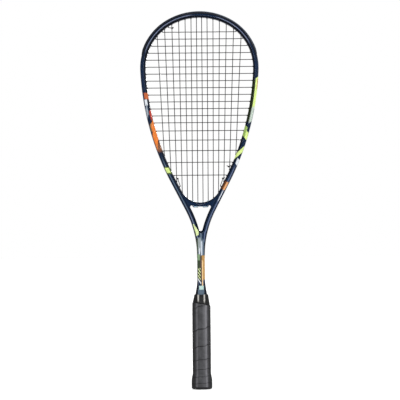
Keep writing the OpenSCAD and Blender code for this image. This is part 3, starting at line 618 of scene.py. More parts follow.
# %% Scuffs and gloss
rub = lacquer.step(lacquer.noise(260, 6.0, 0.7, (1, 1, 0.35)), 0.62, 0.72)
lacquer.coat(SILVER, lacquer.product(rub, lacquer.step(across, 0.9, 1.0, 0.0, 0.5)))
polish = lacquer.step(lacquer.noise(140, 4.0, 0.6), 0.3, 0.75, 0.24, 0.38)
lacquer.done(Roughness=polish, Normal=lacquer.bump(lacquer.noise(1400, 2.0, 0.5), 0.00002, 0.35))
print("lacquer nodes:", len(lacquer.tree.nodes))

# %% The frame piece
both_points = np.concatenate([side_points, side_points * (-1, 1, 1)])
ring_run = np.repeat([ring[2] for ring in rings], loop)
values = {
    "run": np.concatenate([ring_run, -ring_run]),
    "across": np.tile(ring_across, 2 * len(rings)),
}
mirrored = [tuple(v + len(side_points) for v in reversed(f)) for f in side_faces]
frame_tube = make_piece("frame_tube", both_points, side_faces + mirrored, lacquer, 38.0, values)
dress(frame_tube, "frame_lacquer", "frame")

# %% [markdown]
# ## Throat bridge
# The bridge closes the head above the throat opening. On a moulded racket it grows out of both arms, so
# its edge on the string side is an arc tangent to them, its sole is nearly flat, and the corners of the
# opening are rounded. Its face is lower than the tube's and rises to meet it near the arms.

# %% Edges of the bridge
BRIDGE_R, BRIDGE_T, SOLE_R, CORNER_R = 38.0, 7.0, 170.0, 3.0
SOLE_SHARE = 0.62           # the part of the lower edge that belongs to the sole, not to the corner
HALVINGS = 50
bridge_run = (arm_p[0] - BRIDGE_R * arm_n[0]) / -arm_n[1]
bridge_c = arm_p + bridge_run * arm_t - BRIDGE_R * arm_n
sole_c = np.array([0.0, bridge_c[1] - BRIDGE_R - BRIDGE_T + SOLE_R])
low, high = 30.0, arm_length
for _ in range(HALVINGS):
    mid = (low + high) / 2
    corner_c = arm_p + mid * arm_t - CORNER_R * arm_n
    low, high = (mid, high) if norm(corner_c - sole_c) < SOLE_R + CORNER_R else (low, mid)
corner_start = sole_c + SOLE_R * (corner_c - sole_c) / norm(corner_c - sole_c)
print("corners of the throat opening at x = +-%.1f, z = %.1f" % tuple(corner_c))


def upper_edge(share):
    return bridge_c + BRIDGE_R * unit(180 - share * (180 - ARM_HEADING))


def lower_edge(share):
    if share < SOLE_SHARE:
        a = math.asin(corner_start[0] / SOLE_R) * share / SOLE_SHARE
        return sole_c + SOLE_R * np.array([math.sin(a), -math.cos(a)])
    start = math.atan2(*(corner_start - corner_c))
    end = math.radians(ARM_HEADING)
    a = start + (end - start) * (share - SOLE_SHARE) / (1 - SOLE_SHARE)
    return corner_c + CORNER_R * np.array([math.sin(a), math.cos(a)])


# %% Depth of the bridge
BRIDGE_HALF, BRIDGE_RISE, RISE_LENGTH, SINK = 7.5, 2.2, 12, 0.35
UPPER_DEPTH, UPPER_ROUND = 3.8, 3.4
LOWER_DEPTH, LOWER_ROUND = 4.6, 2.2
BRIDGE_BLEND, BRIDGE_SHADE = 0.8, 0.12
INTO_ARM = (1.3, 2.6)       # the last lines lie inside the arm


def eased(t):
    """From nought to one, level at both ends."""
    return t * t * (3 - 2 * t)


def rounded(edge, top, share):
    return edge + (top - edge) * np.sqrt(1 - (1 - np.clip(share, 0, 1)) ** 2)


def bridge_depth(p):
    above = norm(p - bridge_c, axis=-1) - BRIDGE_R
    at_corner = norm(p - corner_c, axis=-1) - CORNER_R
    at_sole = SOLE_R - norm(p - sole_c, axis=-1)
    below = np.where(is_beside(p - corner_c, corner_start - corner_c), at_corner, at_sole)
    to_arm = -(p - arm_p) @ arm_n
    climb = np.clip(1 - to_arm / RISE_LENGTH, 0, 1)
    top = BRIDGE_HALF + BRIDGE_RISE * eased(climb) + SINK * np.minimum(to_arm, 0)
    upper = rounded(UPPER_DEPTH, top, above / UPPER_ROUND)
    return softer(upper, rounded(LOWER_DEPTH, top, below / LOWER_ROUND), BRIDGE_BLEND), above


# %% The bridge piece
shares = np.concatenate([np.linspace(0, SOLE_SHARE, 22), np.linspace(SOLE_SHARE, 1, 18)[1:]])
spread = np.array([0, 0.02, 0.06, 0.12, 0.2, 0.3, 0.42, 0.55, 0.68, 0.79, 0.88, 0.94, 0.98, 1.0])
lines = [upper_edge(s) + spread[:, None] * (lower_edge(s) - upper_edge(s)) for s in shares]
lines += [lines[-1] + sink * arm_n for sink in INTO_ARM]
lines = [line * (-1, 1) for line in lines[:0:-1]] + lines
bridge_points, bridge_across = [], []
for line in lines:
    lift, above = bridge_depth(np.abs(line))
    front = [(p[0], -h, p[1]) for p, h in zip(line, lift)]
    bridge_points += front + [(x, -y, z) for x, y, z in reversed(front)]
    # These across values also set how far the tube's painted shade darkens the bridge near its string side.
    shade = list(np.clip(above / TUBE_WIDTH + BRIDGE_SHADE, 0, 0.5))
    bridge_across += shade + shade[::-1]
values = {"run": np.zeros(len(bridge_points)), "across": bridge_across}
bridge_faces = ring_faces(len(lines), 2 * len(spread))
throat_bridge = make_piece("bridge", bridge_points, bridge_faces, lacquer, 50.0, values)
dress(throat_bridge, "frame_lacquer", "throat_bridge")

# %% [markdown]
# ## String holes
# Fourteen mains fan out from the throat to the crown and nineteen crosses run from side to side, closer
# at the top. Each end leaves the head through a hole square to the frame. A hole is found by halving an
# interval of the edge until the string's line and the edge meet, which works for arcs and lines alike.

# %% Where strings meet the head
STRING_D, SEEN_D, MAIN_PITCH, MAIN_PAIRS, CROSSES = 1.2, 1.4, 9.4, 7, 19
SPREAD_TOP, SPREAD_THROAT = 0.43, 0.05
CROSS_FIRST, CROSS_PITCH, CROSS_GROWTH, CROSS_EVEN = 37.6, 12.65, 2.15, 14
BARREL_OUT = 1.2
BEND_OUT = BARREL_OUT + 0.7
MAIN_Y = STRING_D / 2 + 0.15
run_bridge = run_flank + bridge_run
run_end = run_bridge + BRIDGE_R * math.radians(180 - ARM_HEADING)
run_wide = run_crown + shoulder_r * math.radians(90 - CROWN_HALF)

cross_z = [RACKET_TOP - CROSS_FIRST]
for j in range(1, CROSSES):
    cross_z.append(cross_z[-1] - CROSS_PITCH - CROSS_GROWTH * max(0, j - CROSS_EVEN + 1))


def edge_point(run, out):
    if run < run_bridge:
        return hoop_point(run, out)
    return bridge_c + (BRIDGE_R + out) * unit(ARM_HEADING + math.degrees((run - run_bridge) / BRIDGE_R))


def meet(p, d, a, b, out):
    """The run, between a and b, where the line from p along d meets the edge."""
    def side(run):
        q = edge_point(run, out) - p
        return d[0] * q[1] - d[1] * q[0]

    for _ in range(HALVINGS):
        m = (a + b) / 2
        a, b = (a, m) if side(a) * side(m) <= 0 else (m, b)
    return (a + b) / 2


def sole_z(x):
    return sole_c[1] - math.sqrt(SOLE_R**2 - x**2)


def hoop_end(run):
    """Mouth inside the head, direction outwards, length to the groove's floor, run."""
    return hoop_point(run, -BEND_OUT), unit(hoop_heading(run)), BEND_OUT + FLOOR_OUT, run


def string_end(run, in_bridge=False):
    p = edge_point(run, -BEND_OUT)
    if in_bridge:
        return p, np.array([0.0, -1.0]), p[1] - sole_z(p[0]), run
    if run < run_bridge:
        return hoop_end(run)
    return p, arm_n, FLOOR_OUT - (p - arm_p) @ arm_n, run_flank + (p - arm_p) @ arm_t


# %% Ends of every string
def main_line(i):
    """Lower end and direction of a main of the right half."""
    top = np.array([MAIN_PITCH * (i + 0.5) + SPREAD_TOP * i * i, cross_z[0]])
    low = np.array([MAIN_PITCH * (i + 0.5) + SPREAD_THROAT * i * i, cross_z[-1]])
    return low, (top - low) / norm(top - low)


def main_x(i, z):
    low, way = main_line(i)
    return (low + (z - low[1]) / way[1] * way)[0]


IN_BRIDGE = 2               # mains on each side that end in the bridge
LEVEL = np.array([1.0, 0.0])
main_tops = [string_end(meet(*main_line(i), 0, run_wide, 0)) for i in range(MAIN_PAIRS)]
main_lows = [
    string_end(meet(*main_line(i), run_wide, run_end, 0), i < IN_BRIDGE) for i in range(MAIN_PAIRS)
]
cross_ends = [string_end(meet(np.array([0.0, z]), LEVEL, 0, run_end, -BEND_OUT)) for z in cross_z]
main_tie = hoop_end((main_lows[3][3] + main_lows[4][3]) / 2)
first_tie = hoop_end((main_tops[4][3] + main_tops[5][3]) / 2)
above_last = max(e[3] for e in cross_ends + main_lows if e[3] < main_lows[5][3])
last_tie = hoop_end((above_last + main_lows[5][3]) / 2)
print("holes:", 4 * MAIN_PAIRS + 2 * CROSSES + 4, "last tie at", np.round(last_tie[0], 1))

# %% [markdown]
# ## Moulded nylon
# The bumper guard is tough nylon that scuffs pale along its outer edge, and it is also painted lighter
# towards the right as a painted reflection. The grommet strips are the same plastic in black, and the
# short strip under the bridge is a clear icy blue. One function makes all three from a base colour, a
# scuff colour and how much light passes through.

# %% Nylon finishes
def nylon(name, base, scuff, rough, wear_and_highlight, gloss, **sockets):
    finish = Finish(name, base, Roughness=rough, Specular_IOR_Level=gloss, **sockets)
    finish.coat(brighter(base, 1.25, 0.002), finish.step(finish.noise(70, 3.0, 0.6), 0.3, 0.7))
    scratches = finish.step(finish.noise(420, 6.0, 0.75, (1, 0.5, 1)), 0.56, 0.68)
    finish.coat(scuff, finish.product(scratches, wear_and_highlight))
    dull = finish.step(finish.noise(180, 4.0, 0.6), 0.3, 0.75, rough - 0.07, rough + 0.1)
    return finish.done(Roughness=dull, Normal=finish.bump(finish.noise(2600, 2.0, 0.5), 0.00003, 0.4))


bumper_nylon = nylon("bumper_nylon", paint(24, 33, 46), paint(120, 132, 146), 0.42, 0.3, 0.15)
# Painted reflection: the guard is painted lighter towards the right, where it would catch the light.
bumper_nylon.coat(paint(120, 130, 144), bumper_nylon.step(bumper_nylon.axes()[0], -40.0, 60.0, 0.0, 0.5))
bumper_nylon.done()
strip_nylon = nylon("strip_nylon", paint(10, 11, 14), paint(60, 64, 70), 0.45, 0.12, 0.15)
ice_nylon = nylon(
    "ice_nylon", paint(176, 206, 224), paint(226, 238, 246), 0.3, 0.3, 0.4,
    Transmission_Weight=0.25, Subsurface_Weight=0.2,
)

# %% [markdown]
# ## Bumper guard
# The guard is a channel that sits in the groove round the crown. Its two flanges wrap the outer edge of
# the tube and take the knocks, while the strings lie safe between them. It is swept along the hoop, and
# its flanges thin out towards both ends.

# %% The bumper guard piece
IN_GUARD = 4                # crosses whose barrels belong to the guard
RUN_BUMPER = (cross_ends[IN_GUARD - 1][3] + cross_ends[IN_GUARD][3]) / 2 - 0.5
FLANGE_OUT = 10.03
FROM_END, THINNER = (0, 2, 9), (0.3, 0.55, 1)
half_section = [
    (6.45, 2.12), (9.98, 2.12), (FLANGE_OUT, 2.5), (FLANGE_OUT, 4.15), (10.2, 4.45), (10.55, 4.58),
    (11.0, 4.42), (11.4, 4.0), (11.58, 3.4), (11.6, 2.7), (11.52, 2.1), (11.3, 1.68), (10.9, 1.52),
    (7.35, 1.48), (7.22, 1.3),
]
section = half_section + [(o, -h) for o, h in reversed(half_section)]
bumper_runs = np.linspace(-RUN_BUMPER, RUN_BUMPER, 181)
bumper_points = []
for run in bumper_runs:
    thin = float(np.interp(RUN_BUMPER - abs(run), FROM_END, THINNER))
    for out, h in section:
        x, z = hoop_point(abs(run), out if out < FLANGE_OUT else FLANGE_OUT + (out - FLANGE_OUT) * thin)
        bumper_points.append((math.copysign(x, run) if run else x, -h, z))
bumper_faces = ring_faces(len(bumper_runs), len(section))
dress(make_piece("guard", bumper_points, bumper_faces, bumper_nylon, 45.0), "bumper_nylon", "bumper_guard")

# %% [markdown]
# ## Grommet strips
# A strip lies on the floor of the groove, and a hollow barrel leads each string through the tube. Barrels
# repeat dozens of times, so Geometry Nodes make them: one barrel is a rounded rectangle turned round a
# circle, and it is copied to every hole, aimed by a direction that is stored on the point. The strip
# itself is a rounded rectangle that follows the path.

# %% A class that builds node trees
class Tree(Nodes):
    SOCKETS = {"Geometry": "NodeSocketGeometry", "Finish": "NodeSocketMaterial"}
    SHARP = 50.0

    def __init__(self, name, *sizes):
        super().__init__(bpy.data.node_groups.new(name, "GeometryNodeTree"), "GeometryNode")
        face = self.tree.interface
        self.keys = {}
        for socket in ("Geometry",) + sizes + ("Finish",):
            kind = self.SOCKETS.get(socket, "NodeSocketFloat")
            self.keys[socket] = face.new_socket(socket, in_out="INPUT", socket_type=kind).identifier
        face.new_socket("Geometry", in_out="OUTPUT", socket_type="NodeSocketGeometry")
        self.given = self.add("NodeGroupInput")

    def stored(self, name, kind="FLOAT"):
        return self.add("InputNamedAttribute", {"Name": name}, data_type=kind)[0]

    def store(self, geometry, name, value, kind="FLOAT"):
        inputs = {0: geometry, "Name": name, "Value": value}
        return self.add("StoreNamedAttribute", inputs, data_type=kind, domain="POINT")[0]

    def rounded_box(self, wide, tall, radius):
        box = self.add("CurvePrimitiveQuadrilateral", {0: wide, 1: tall})[0]
        return self.add("FilletCurve", {0: box, "Count": 2, "Radius": radius}, mode="POLY")[0]

    def end(self, geometry):
        """Real geometry, smooth, with the finish on it."""
        real = self.add("RealizeInstances", {0: geometry})[0]
        smooth = self.add("SetShadeSmooth", {0: real})[0]
        done = self.add("SetMaterial", {0: smooth, 2: self.given["Finish"]})[0]
        self.add("NodeGroupOutput", {0: done})

    def grow(self, name, base, finish, **sizes):
        """Runs the tree on a base mesh and keeps the result as a plain mesh."""
        seed = bpy.data.objects.new(name + "_base", base)
        scene.collection.objects.link(seed)
        made = seed.modifiers.new("tree", "NODES")
        made.node_group = self.tree
        for size, value in sizes.items():
            made[self.keys[size]] = value
        made[self.keys["Finish"]] = finish.material
        mesh = bpy.data.meshes.new_from_object(seed.evaluated_get(bpy.context.evaluated_depsgraph_get()))
        seed.modifiers.clear()
        bpy.data.objects.remove(seed)
        return finish_piece(name, mesh, finish, self.SHARP)


# %% The tree for strips and barrels
BARREL_ROUND, STRIP_ROUND = 0.00022, 0.0003
tree = Tree("grommet_strip", "BarrelD", "BarrelWall", "BarrelLength", "StripWidth", "StripT")
given = tree.given
parted = tree.add("SeparateGeometry", {0: given["Geometry"], 1: tree.stored("hole")}, domain="POINT")
hollow = tree.calc("SUBTRACT", given["BarrelD"], given["BarrelWall"])
turned = tree.add("CurvePrimitiveCircle", {"Resolution": 18, "Radius": tree.product(hollow, 0.5)})[0]
wall = tree.rounded_box(given["BarrelWall"], given["BarrelLength"], BARREL_ROUND)
barrel = tree.add("CurveToMesh", {0: turned, 1: wall})[0]
lift = tree.add("ShaderNodeCombineXYZ", {2: tree.product(given["BarrelLength"], 0.5)})[0]
barrel = tree.add("Transform", {0: barrel, "Translation": lift})[0]
aim = tree.stored("aim", "FLOAT_VECTOR")
aimed = tree.add("FunctionNodeAlignRotationToVector", {"Vector": aim}, axis="Z")[0]
tall = tree.add("ShaderNodeCombineXYZ", {0: 1.0, 1: 1.0, 2: tree.stored("reach")})[0]
copies = tree.add(
    "InstanceOnPoints", {0: parted[0], "Instance": barrel, "Rotation": aimed, "Scale": tall}
)[0]
path = tree.add("MeshToCurve", {0: parted[1]})[0]
path = tree.add("SetCurveNormal", {0: path}, mode="Z_UP")[0]
flat = tree.rounded_box(given["StripT"], given["StripWidth"], STRIP_ROUND)
swept = tree.add("CurveToMesh", {0: path, 1: flat, "Fill Caps": True})[0]
joined = tree.add("JoinGeometry")[0]
for part in (swept, copies):
    tree.put(part, joined.node.inputs[0])
tree.end(tree.add("Transform", {0: joined, "Rotation": (math.pi / 2, 0, 0)})[0])

# %% Base points for the tree
SIZES = {
    "BarrelD": 0.0025, "BarrelWall": 0.00065, "BarrelLength": 0.0076, "StripWidth": 0.0042, "StripT": 0.0008
}


def grow_strip(name, path, holes, finish):
    """A path and loose points, drawn flat: the tree stands them up at its end."""
    verts = [(x, z, 0.0) for x, z in path]
    edges = [(k, k + 1) for k in range(len(path) - 1)]
    aims, reaches = [(0.0, 0.0, 1.0)] * len(path), [0.0] * len(path)
    for (mouth, way, length, _), y, side in holes:
        tip = mouth + (BEND_OUT - BARREL_OUT) * way
        verts.append((side * tip[0], tip[1], -y))
        aims.append((side * way[0], way[1], 0.0))
        reaches.append((length - BEND_OUT + BARREL_OUT) * MM / SIZES["BarrelLength"])
    mesh = bpy.data.meshes.new(name)
    mesh.from_pydata([tuple(c * MM for c in v) for v in verts], edges, [])
    flag = [0.0] * len(path) + [1.0] * len(holes)
    for key, numbers in (("hole", flag), ("reach", reaches)):
        mesh.attributes.new(key, "FLOAT", "POINT").data.foreach_set("value", numbers)
    layer = mesh.attributes.new("aim", "FLOAT_VECTOR", "POINT")
    layer.data.foreach_set("vector", np.array(aims, np.float32).reshape(-1))
    return tree.grow(name, mesh, finish, **SIZES)


def on_both_sides(ends, y):
    return [(e, y, side) for e in ends for side in (-1, 1)]


# %% Strips of both sides, barrels of the guard
STRIP_ABOVE = 0.42          # from the groove's floor to the middle of a strip
strip_runs = np.linspace(RUN_BUMPER + 1.5, RUN_GROOVE - 2, 120)
for side, name in ((-1, "left"), (1, "right")):
    holes = [(e, MAIN_Y, side) for e in main_lows[IN_BRIDGE:] + [main_tie]]
    holes += [(e, -MAIN_Y, side) for e in cross_ends[IN_GUARD:] + ([last_tie] if side > 0 else [])]
    path = [hoop_point(r, FLOOR_OUT + STRIP_ABOVE) * (side, 1) for r in strip_runs]
    dress(grow_strip("strip_" + name, path, holes, strip_nylon), "grommet_nylon", "grommet_strip_" + name)

holes = on_both_sides(main_tops, MAIN_Y) + on_both_sides(cross_ends[:IN_GUARD], -MAIN_Y)
holes.append((first_tie, -MAIN_Y, -1))
dress(grow_strip("guard_barrels", [], holes, bumper_nylon), "bumper_nylon")

# %% The icy strip under the bridge
PAD_X, PAD_HALF, PAD_DROP, PAD_LEAST = 8.9, 5.6, 1.2, 0.5
PAD_END, PAD_WIDE, PAD_WIDER, PAD_SINK = 15.4, 2.4, 1.4, 0.02


def pad_drop(x):
    """The strip swells into a soft pad under each pair of strings."""
    near = max(0.0, 1 - ((abs(x) - PAD_X) / PAD_HALF) ** 2)
    return PAD_LEAST + PAD_DROP * near**0.8


pad_points = []
pad_xs = np.linspace(-PAD_END, PAD_END, 89)
for x in pad_xs:
    top, drop = sole_z(x) - PAD_SINK, pad_drop(x)
    wide = PAD_WIDE + PAD_WIDER * (drop - PAD_LEAST) / PAD_DROP
    ring = [(wide, 0), (wide + 0.1, 0.25), (wide, 0.6), (wide - 0.5, 0.9), (0.5 * wide, 1.0), (0, 1.02)]
    ring += [(-y, d) for y, d in reversed(ring[:-1])] + [(0.0, 0.0)]
    pad_points += [(x, y, top - min(d, 1.0) * drop) for y, d in ring]
pad_faces = ring_faces(len(pad_xs), len(ring))
throat_pad = make_piece("throat_pads", pad_points, pad_faces, ice_nylon, 60.0)
dress(throat_pad, "throat_strip", "grommet_strip_throat")
holes = on_both_sides(main_lows[:IN_BRIDGE], MAIN_Y)
dress(grow_strip("throat_barrels", [], holes, ice_nylon), "throat_strip")

# %% [markdown]
# ## Strings
# One long string makes all the mains and another all the crosses. Each runs out through a barrel, along
# the groove and back in through the next barrel, and the two pass over and under each other in turn. The
# route is a list of points, and a small tree of Geometry Nodes turns it into a round string. The weave
# is a smooth swing of y between the crossings.

# %% Routes in three dimensions
WEAVE = SEEN_D / 2
LANE_LOW, LANE_STEP = 1.5, 1.35
SPACING, LANE_SPACING = 1.6, 3              # between the points of a route
CLEAR = 1                                   # crossings closer to an end than this are left out


def swing(places, heights, at):
    """Moves smoothly from height to height, level at every place."""
    k = int(np.clip(np.searchsorted(places, at) - 1, 0, len(places) - 2))
    t = float(np.clip((at - places[k]) / (places[k + 1] - places[k]), 0, 1))
    return heights[k] + (heights[k + 1] - heights[k]) * eased(t)


def main_number(i, side):
    """Mains are counted from left to right."""
    return MAIN_PAIRS + i if side > 0 else MAIN_PAIRS - 1 - i


def main_depth(i, side, z):
    """y of a main at the height z."""
    low, top = main_lows[i][0][1], main_tops[i][0][1]
    met = [j for j in range(CROSSES - 1, -1, -1) if low + CLEAR < cross_z[j] < top - CLEAR]
    places = [low] + [cross_z[j] for j in met] + [top]
    heights = [MAIN_Y] + [WEAVE * (-1) ** (main_number(i, side) + j) for j in met] + [MAIN_Y]
    return swing(places, heights, z)


def one_main(i, side, up):
    """Points of one main, downwards or upwards."""
    low, top = main_lows[i][0][1], main_tops[i][0][1]
    start, end = (low, top) if up else (top, low)
    steps = np.linspace(start, end, max(3, int(abs(end - start) / SPACING)))
    return [(side * main_x(i, z), main_depth(i, side, z), z) for z in steps]


def cross_stretch(j, side):
    """Points of one cross, from the given side to the other."""
    half = cross_ends[j][0][0]
    hits = [(half, -MAIN_Y), (-half, -MAIN_Y)]
    for i in range(MAIN_PAIRS):
        x = main_x(i, cross_z[j])
        if x < half - CLEAR and main_lows[i][0][1] < cross_z[j] < main_tops[i][0][1]:
            hits += [(s * x, -WEAVE * (-1) ** (main_number(i, s) + j)) for s in (-1, 1)]
    places, heights = zip(*sorted(hits))
    steps = side * np.linspace(half, -half, int(2 * half / SPACING))
    return [(x, swing(places, heights, x), cross_z[j]) for x in steps]


def lane(a, b, number, side, y):
    """The string's way along the groove between two runs."""
    out = FLOOR_OUT + LANE_LOW + number * LANE_STEP
    flat = [hoop_point(run, out) for run in np.linspace(a, b, max(2, int(abs(b - a) / LANE_SPACING)))]
    return [(side * x, y, z) for x, z in flat]


# %% Where the strings are tied
KNOT_IN, KNOT_GAP = 4.5, 1.6
KNOT_ROOM = 0.45 * STRING_D + STRING_D + 0.15   # from a knot to the next cross


def knot_on(end, i, up, side):
    """Centre of a knot on a main and the direction of that main."""
    mouth, way = end[0], main_line(i)[1]
    z = mouth[1] + up * KNOT_IN * way[1]
    close = [c for c in cross_z if abs(c - z) < KNOT_ROOM]
    reach = KNOT_IN if not close else (up * (close[0] - mouth[1]) + KNOT_ROOM) / way[1]
    p = mouth + up * reach * way
    return np.array([side * p[0], main_depth(i, side, p[1]), p[1]]), np.array([side * way[0], 0.0, way[1]])


def stop_short(mouth, knot, side, y, gap):
    """From a hole's mouth towards a knot."""
    a = np.array([side * mouth[0], y, mouth[1]])
    way = (knot - a) / norm(knot - a)
    return [tuple(a), tuple(knot - gap * way)]


# (tie hole, side, y, knot's centre, main's direction)
MAIN_TIES = [(main_tie[0], side, MAIN_Y, *knot_on(main_lows[4], 4, 1, side)) for side in (-1, 1)]
CROSS_TIES = [
    (first_tie[0], -1, -MAIN_Y, *knot_on(main_tops[4], 4, -1, -1)),
    (last_tie[0], 1, -MAIN_Y, *knot_on(main_lows[5], 5, 1, 1)),
]


def to_knot(mouth, side, y, knot, _):
    return stop_short(mouth, knot, side, y, KNOT_GAP)


# %% The main string
def under_sole(end, side):
    mouth, way, length, _ = end
    p = mouth + (length + LANE_LOW) * way
    return (side * p[0], MAIN_Y, p[1])


def half_main(side):
    """From the top loop on the axis, down and up through the mains of one side."""
    route = lane(0, main_tops[0][3], 0, side, MAIN_Y)
    for i in range(MAIN_PAIRS):
        route += one_main(i, side, i % 2)
        ends = main_tops if i % 2 else main_lows
        if i == 0:
            route += [under_sole(end, side) for end in ends[:2]]
        elif i + 1 < MAIN_PAIRS:
            route += lane(ends[i][3], ends[i + 1][3], 0, side, MAIN_Y)
    return route + lane(main_lows[-1][3], main_tie[3], 1, side, MAIN_Y)


BEND_R, SHARP_TURN, CORNER_SHARE = 1.3, 15, 0.45


def soften(route):
    """Rounds every sharp corner of a route."""
    v = [np.array(p, float) for p in route]
    v = [p for n, p in enumerate(v) if n == 0 or norm(p - v[n - 1]) > 0.05]
    soft = [v[0]]
    for before, here, after in zip(v, v[1:], v[2:]):
        a, b = before - here, after - here
        la, lb = norm(a), norm(b)
        turn = math.acos(max(-1.0, min(1.0, float(-(a @ b) / la / lb))))
        if turn < math.radians(SHARP_TURN):
            soft.append(here)
            continue
        c = min(BEND_R * math.tan(turn / 2), CORNER_SHARE * la, CORNER_SHARE * lb)
        soft += round_corner(here + c * a / la, here, here + c * b / lb)
    return soft + [v[-1]]


def round_corner(p, corner, q, steps=6):
    return [(1 - t) ** 2 * p + 2 * t * (1 - t) * corner + t * t * q for t in np.linspace(0, 1, steps)]


left_half, right_half = (half_main(tie[1]) + to_knot(*tie) for tie in MAIN_TIES)
main_route = left_half[::-1] + right_half[1:]
print("main string: %d points before rounding" % len(main_route))

# %% The cross string
cross_route = to_knot(*CROSS_TIES[0])[::-1] + lane(first_tie[3], cross_ends[0][3], 0, -1, -MAIN_Y)
for j in range(CROSSES):
    side = -1 if j % 2 == 0 else 1
    cross_route += cross_stretch(j, side)
    after = cross_ends[j + 1] if j + 1 < CROSSES else last_tie
    cross_route += lane(cross_ends[j][3], after[3], 0, -side, -MAIN_Y)
cross_route += to_knot(*CROSS_TIES[1])
print("cross string: %d points before rounding" % len(cross_route))

# %% [markdown]
# The tree for a string sweeps a circle along the route. It also stores how far along the string a point
# is and where it is round the string, so that the finish can draw the fine winding of a multifilament
# string, which turns round its core like a thread.

# %% The tree for strings and knots
string_tree = Tree("string", "Diameter")
path = string_tree.add("MeshToCurve", {0: string_tree.given["Geometry"]})[0]
path = string_tree.store(path, "along", string_tree.add("SplineParameter")["Length"])
radius = string_tree.product(string_tree.given["Diameter"], 0.5)
circle = string_tree.add("CurvePrimitiveCircle", {"Resolution": 10, "Radius": radius})[0]
circle = string_tree.store(circle, "round", string_tree.add("InputPosition")[0], "FLOAT_VECTOR")
string_tree.end(string_tree.add("CurveToMesh", {0: path, 1: circle, "Fill Caps": True})[0])

# %% The finish of the strings
THREADS, THREAD_PITCH = 4.0, 0.0024
string_nylon = Finish("string_nylon", paint(10, 10, 11), Specular_IOR_Level=0.08, Roughness=0.4)
where = string_nylon.add("Attribute", attribute_name="round")["Vector"]
round_x, round_y, _ = string_nylon.add("SeparateXYZ", {0: where})
angle = string_nylon.product(string_nylon.calc("ARCTAN2", round_y, round_x), THREADS)
twist = string_nylon.product(string_nylon.value("along"), 2 * math.pi / THREAD_PITCH)
wound = string_nylon.calc("SINE", string_nylon.calc("ADD", angle, twist))
thread = string_nylon.step(wound, -1.0, 1.0)
string_nylon.coat(paint(26, 26, 28), thread)
frayed = string_nylon.step(string_nylon.noise(500, 4.0, 0.6), 0.5, 0.75, 0.0, 0.3)
string_nylon.coat(paint(54, 54, 57), frayed)
string_nylon.done(Normal=string_nylon.bump(thread, 0.00004, 0.5))


# %% The two strings
def grow_string(name, *routes):
    mesh, verts, edges = bpy.data.meshes.new(name), [], []
    for route in routes:
        edges += [(len(verts) + k, len(verts) + k + 1) for k in range(len(route) - 1)]
        verts += [tuple(float(c) * MM for c in p) for p in route]
    mesh.from_pydata(verts, edges, [])
    return string_tree.grow(name, mesh, string_nylon, Diameter=SEEN_D * MM)


dress(grow_string("mains", soften(main_route)), "string_nylon", "main_string")
dress(grow_string("crosses", soften(cross_route)), "string_nylon", "cross_string")

# %% [markdown]
# ## Knots
# Each string is tied off with a double half hitch round a main near the frame. Two close turns and a
# short cut tail give the right little lump, and the string's end runs straight into it.

# %% Knots at the string ends
KNOT_TURNS, COIL_START, COIL_HALF, COIL_R = 2.2, 1.75, 0.62 * STRING_D, 1.02 * STRING_D
TAIL, TAIL_BEND = (1.2, 2.4, 3.6), 0.05


def knot_route(mouth, side, y, knot, way):
    """From the string's end round the main twice, then a short tail along it."""
    depth = np.array((0.0, 1.0, 0.0))
    aside = np.cross(way, depth)
    start = np.array(stop_short(mouth, knot, side, y, COIL_START)[1])
    first = math.atan2((start - knot)[1], (start - knot) @ aside)
    turns = np.linspace(0, KNOT_TURNS * 2 * math.pi, 38)
    coil = []
    for n, a in enumerate(turns):
        slide = -COIL_HALF + 2 * COIL_HALF * n / (len(turns) - 1)
        swung = math.cos(first + a) * aside + math.sin(first + a) * depth
        coil.append(knot + slide * way + COIL_R * swung)
    leave = coil[-1] - coil[-2]
    tail = [coil[-1] + leave / norm(leave) * d + way * TAIL_BEND * d * d for d in TAIL]
    return [start] + coil + tail


for name, ties in (("main", MAIN_TIES), ("cross", CROSS_TIES)):
    knots = grow_string(name + "_knots", *(knot_route(*tie) for tie in ties))
    dress(knots, "string_nylon", name + "_string_knots")

# %% [markdown]
# ## Handle
# The handle is an octagon: two foam pallets on the shaft, a plastic cap at the butt, a cushioned tape
# wound from the butt upwards, and a tapered rubber collar that holds the tape's end. Rings with rounded
# corners make the cap and the collar, because a bevelled prism would look too sharp for moulded parts.

# %% Rounded octagons
HALF_X, HALF_Y, BEVEL, PER_CORNER = 14.7, 12.8, 7.0, 6
SWELL, SWELL_FROM, SWELL_LENGTH = 2.2, 15, 16
TAPER_HEIGHTS, TAPER_X, TAPER_Y = (144, 155, 172), (0, 0.3, 3.3), (0, 0.5, 1.4)


def octagon(dx, dy, radius):
    """Points of an octagon whose sides lie dx and dy further out, with round corners."""
    a, b, c = HALF_X + dx, HALF_Y + dy, BEVEL + (dx + dy) * (1 - math.sqrt(0.5))
    corners = [(a, -(b - c)), (a, b - c), (a - c, b), (-(a - c), b)]
    corners = np.array(corners + [(-x, -y) for x, y in corners])
    points = []
    for n, here in enumerate(corners):
        ways = [corners[n - 1] - here, corners[(n + 1) % 8] - here]
        lengths = [norm(way) for way in ways]
        cut = min([radius * math.tan(math.radians(22.5))] + [CORNER_SHARE * length for length in lengths])
        p, q = (here + cut * way / length for way, length in zip(ways, lengths))
        points += round_corner(p, here, q, PER_CORNER)
    return np.array(points)


def grip_flare(z):
    """How far the handle stands out at the sides, and at front and back."""
    if z < TAPER_HEIGHTS[0]:
        share = min(1.0, max(0.0, z - SWELL_FROM) / SWELL_LENGTH)
        return (SWELL * (0.5 + 0.5 * math.cos(math.pi * share)),) * 2
    return tuple(-float(np.interp(z, TAPER_HEIGHTS, taper)) for taper in (TAPER_X, TAPER_Y))


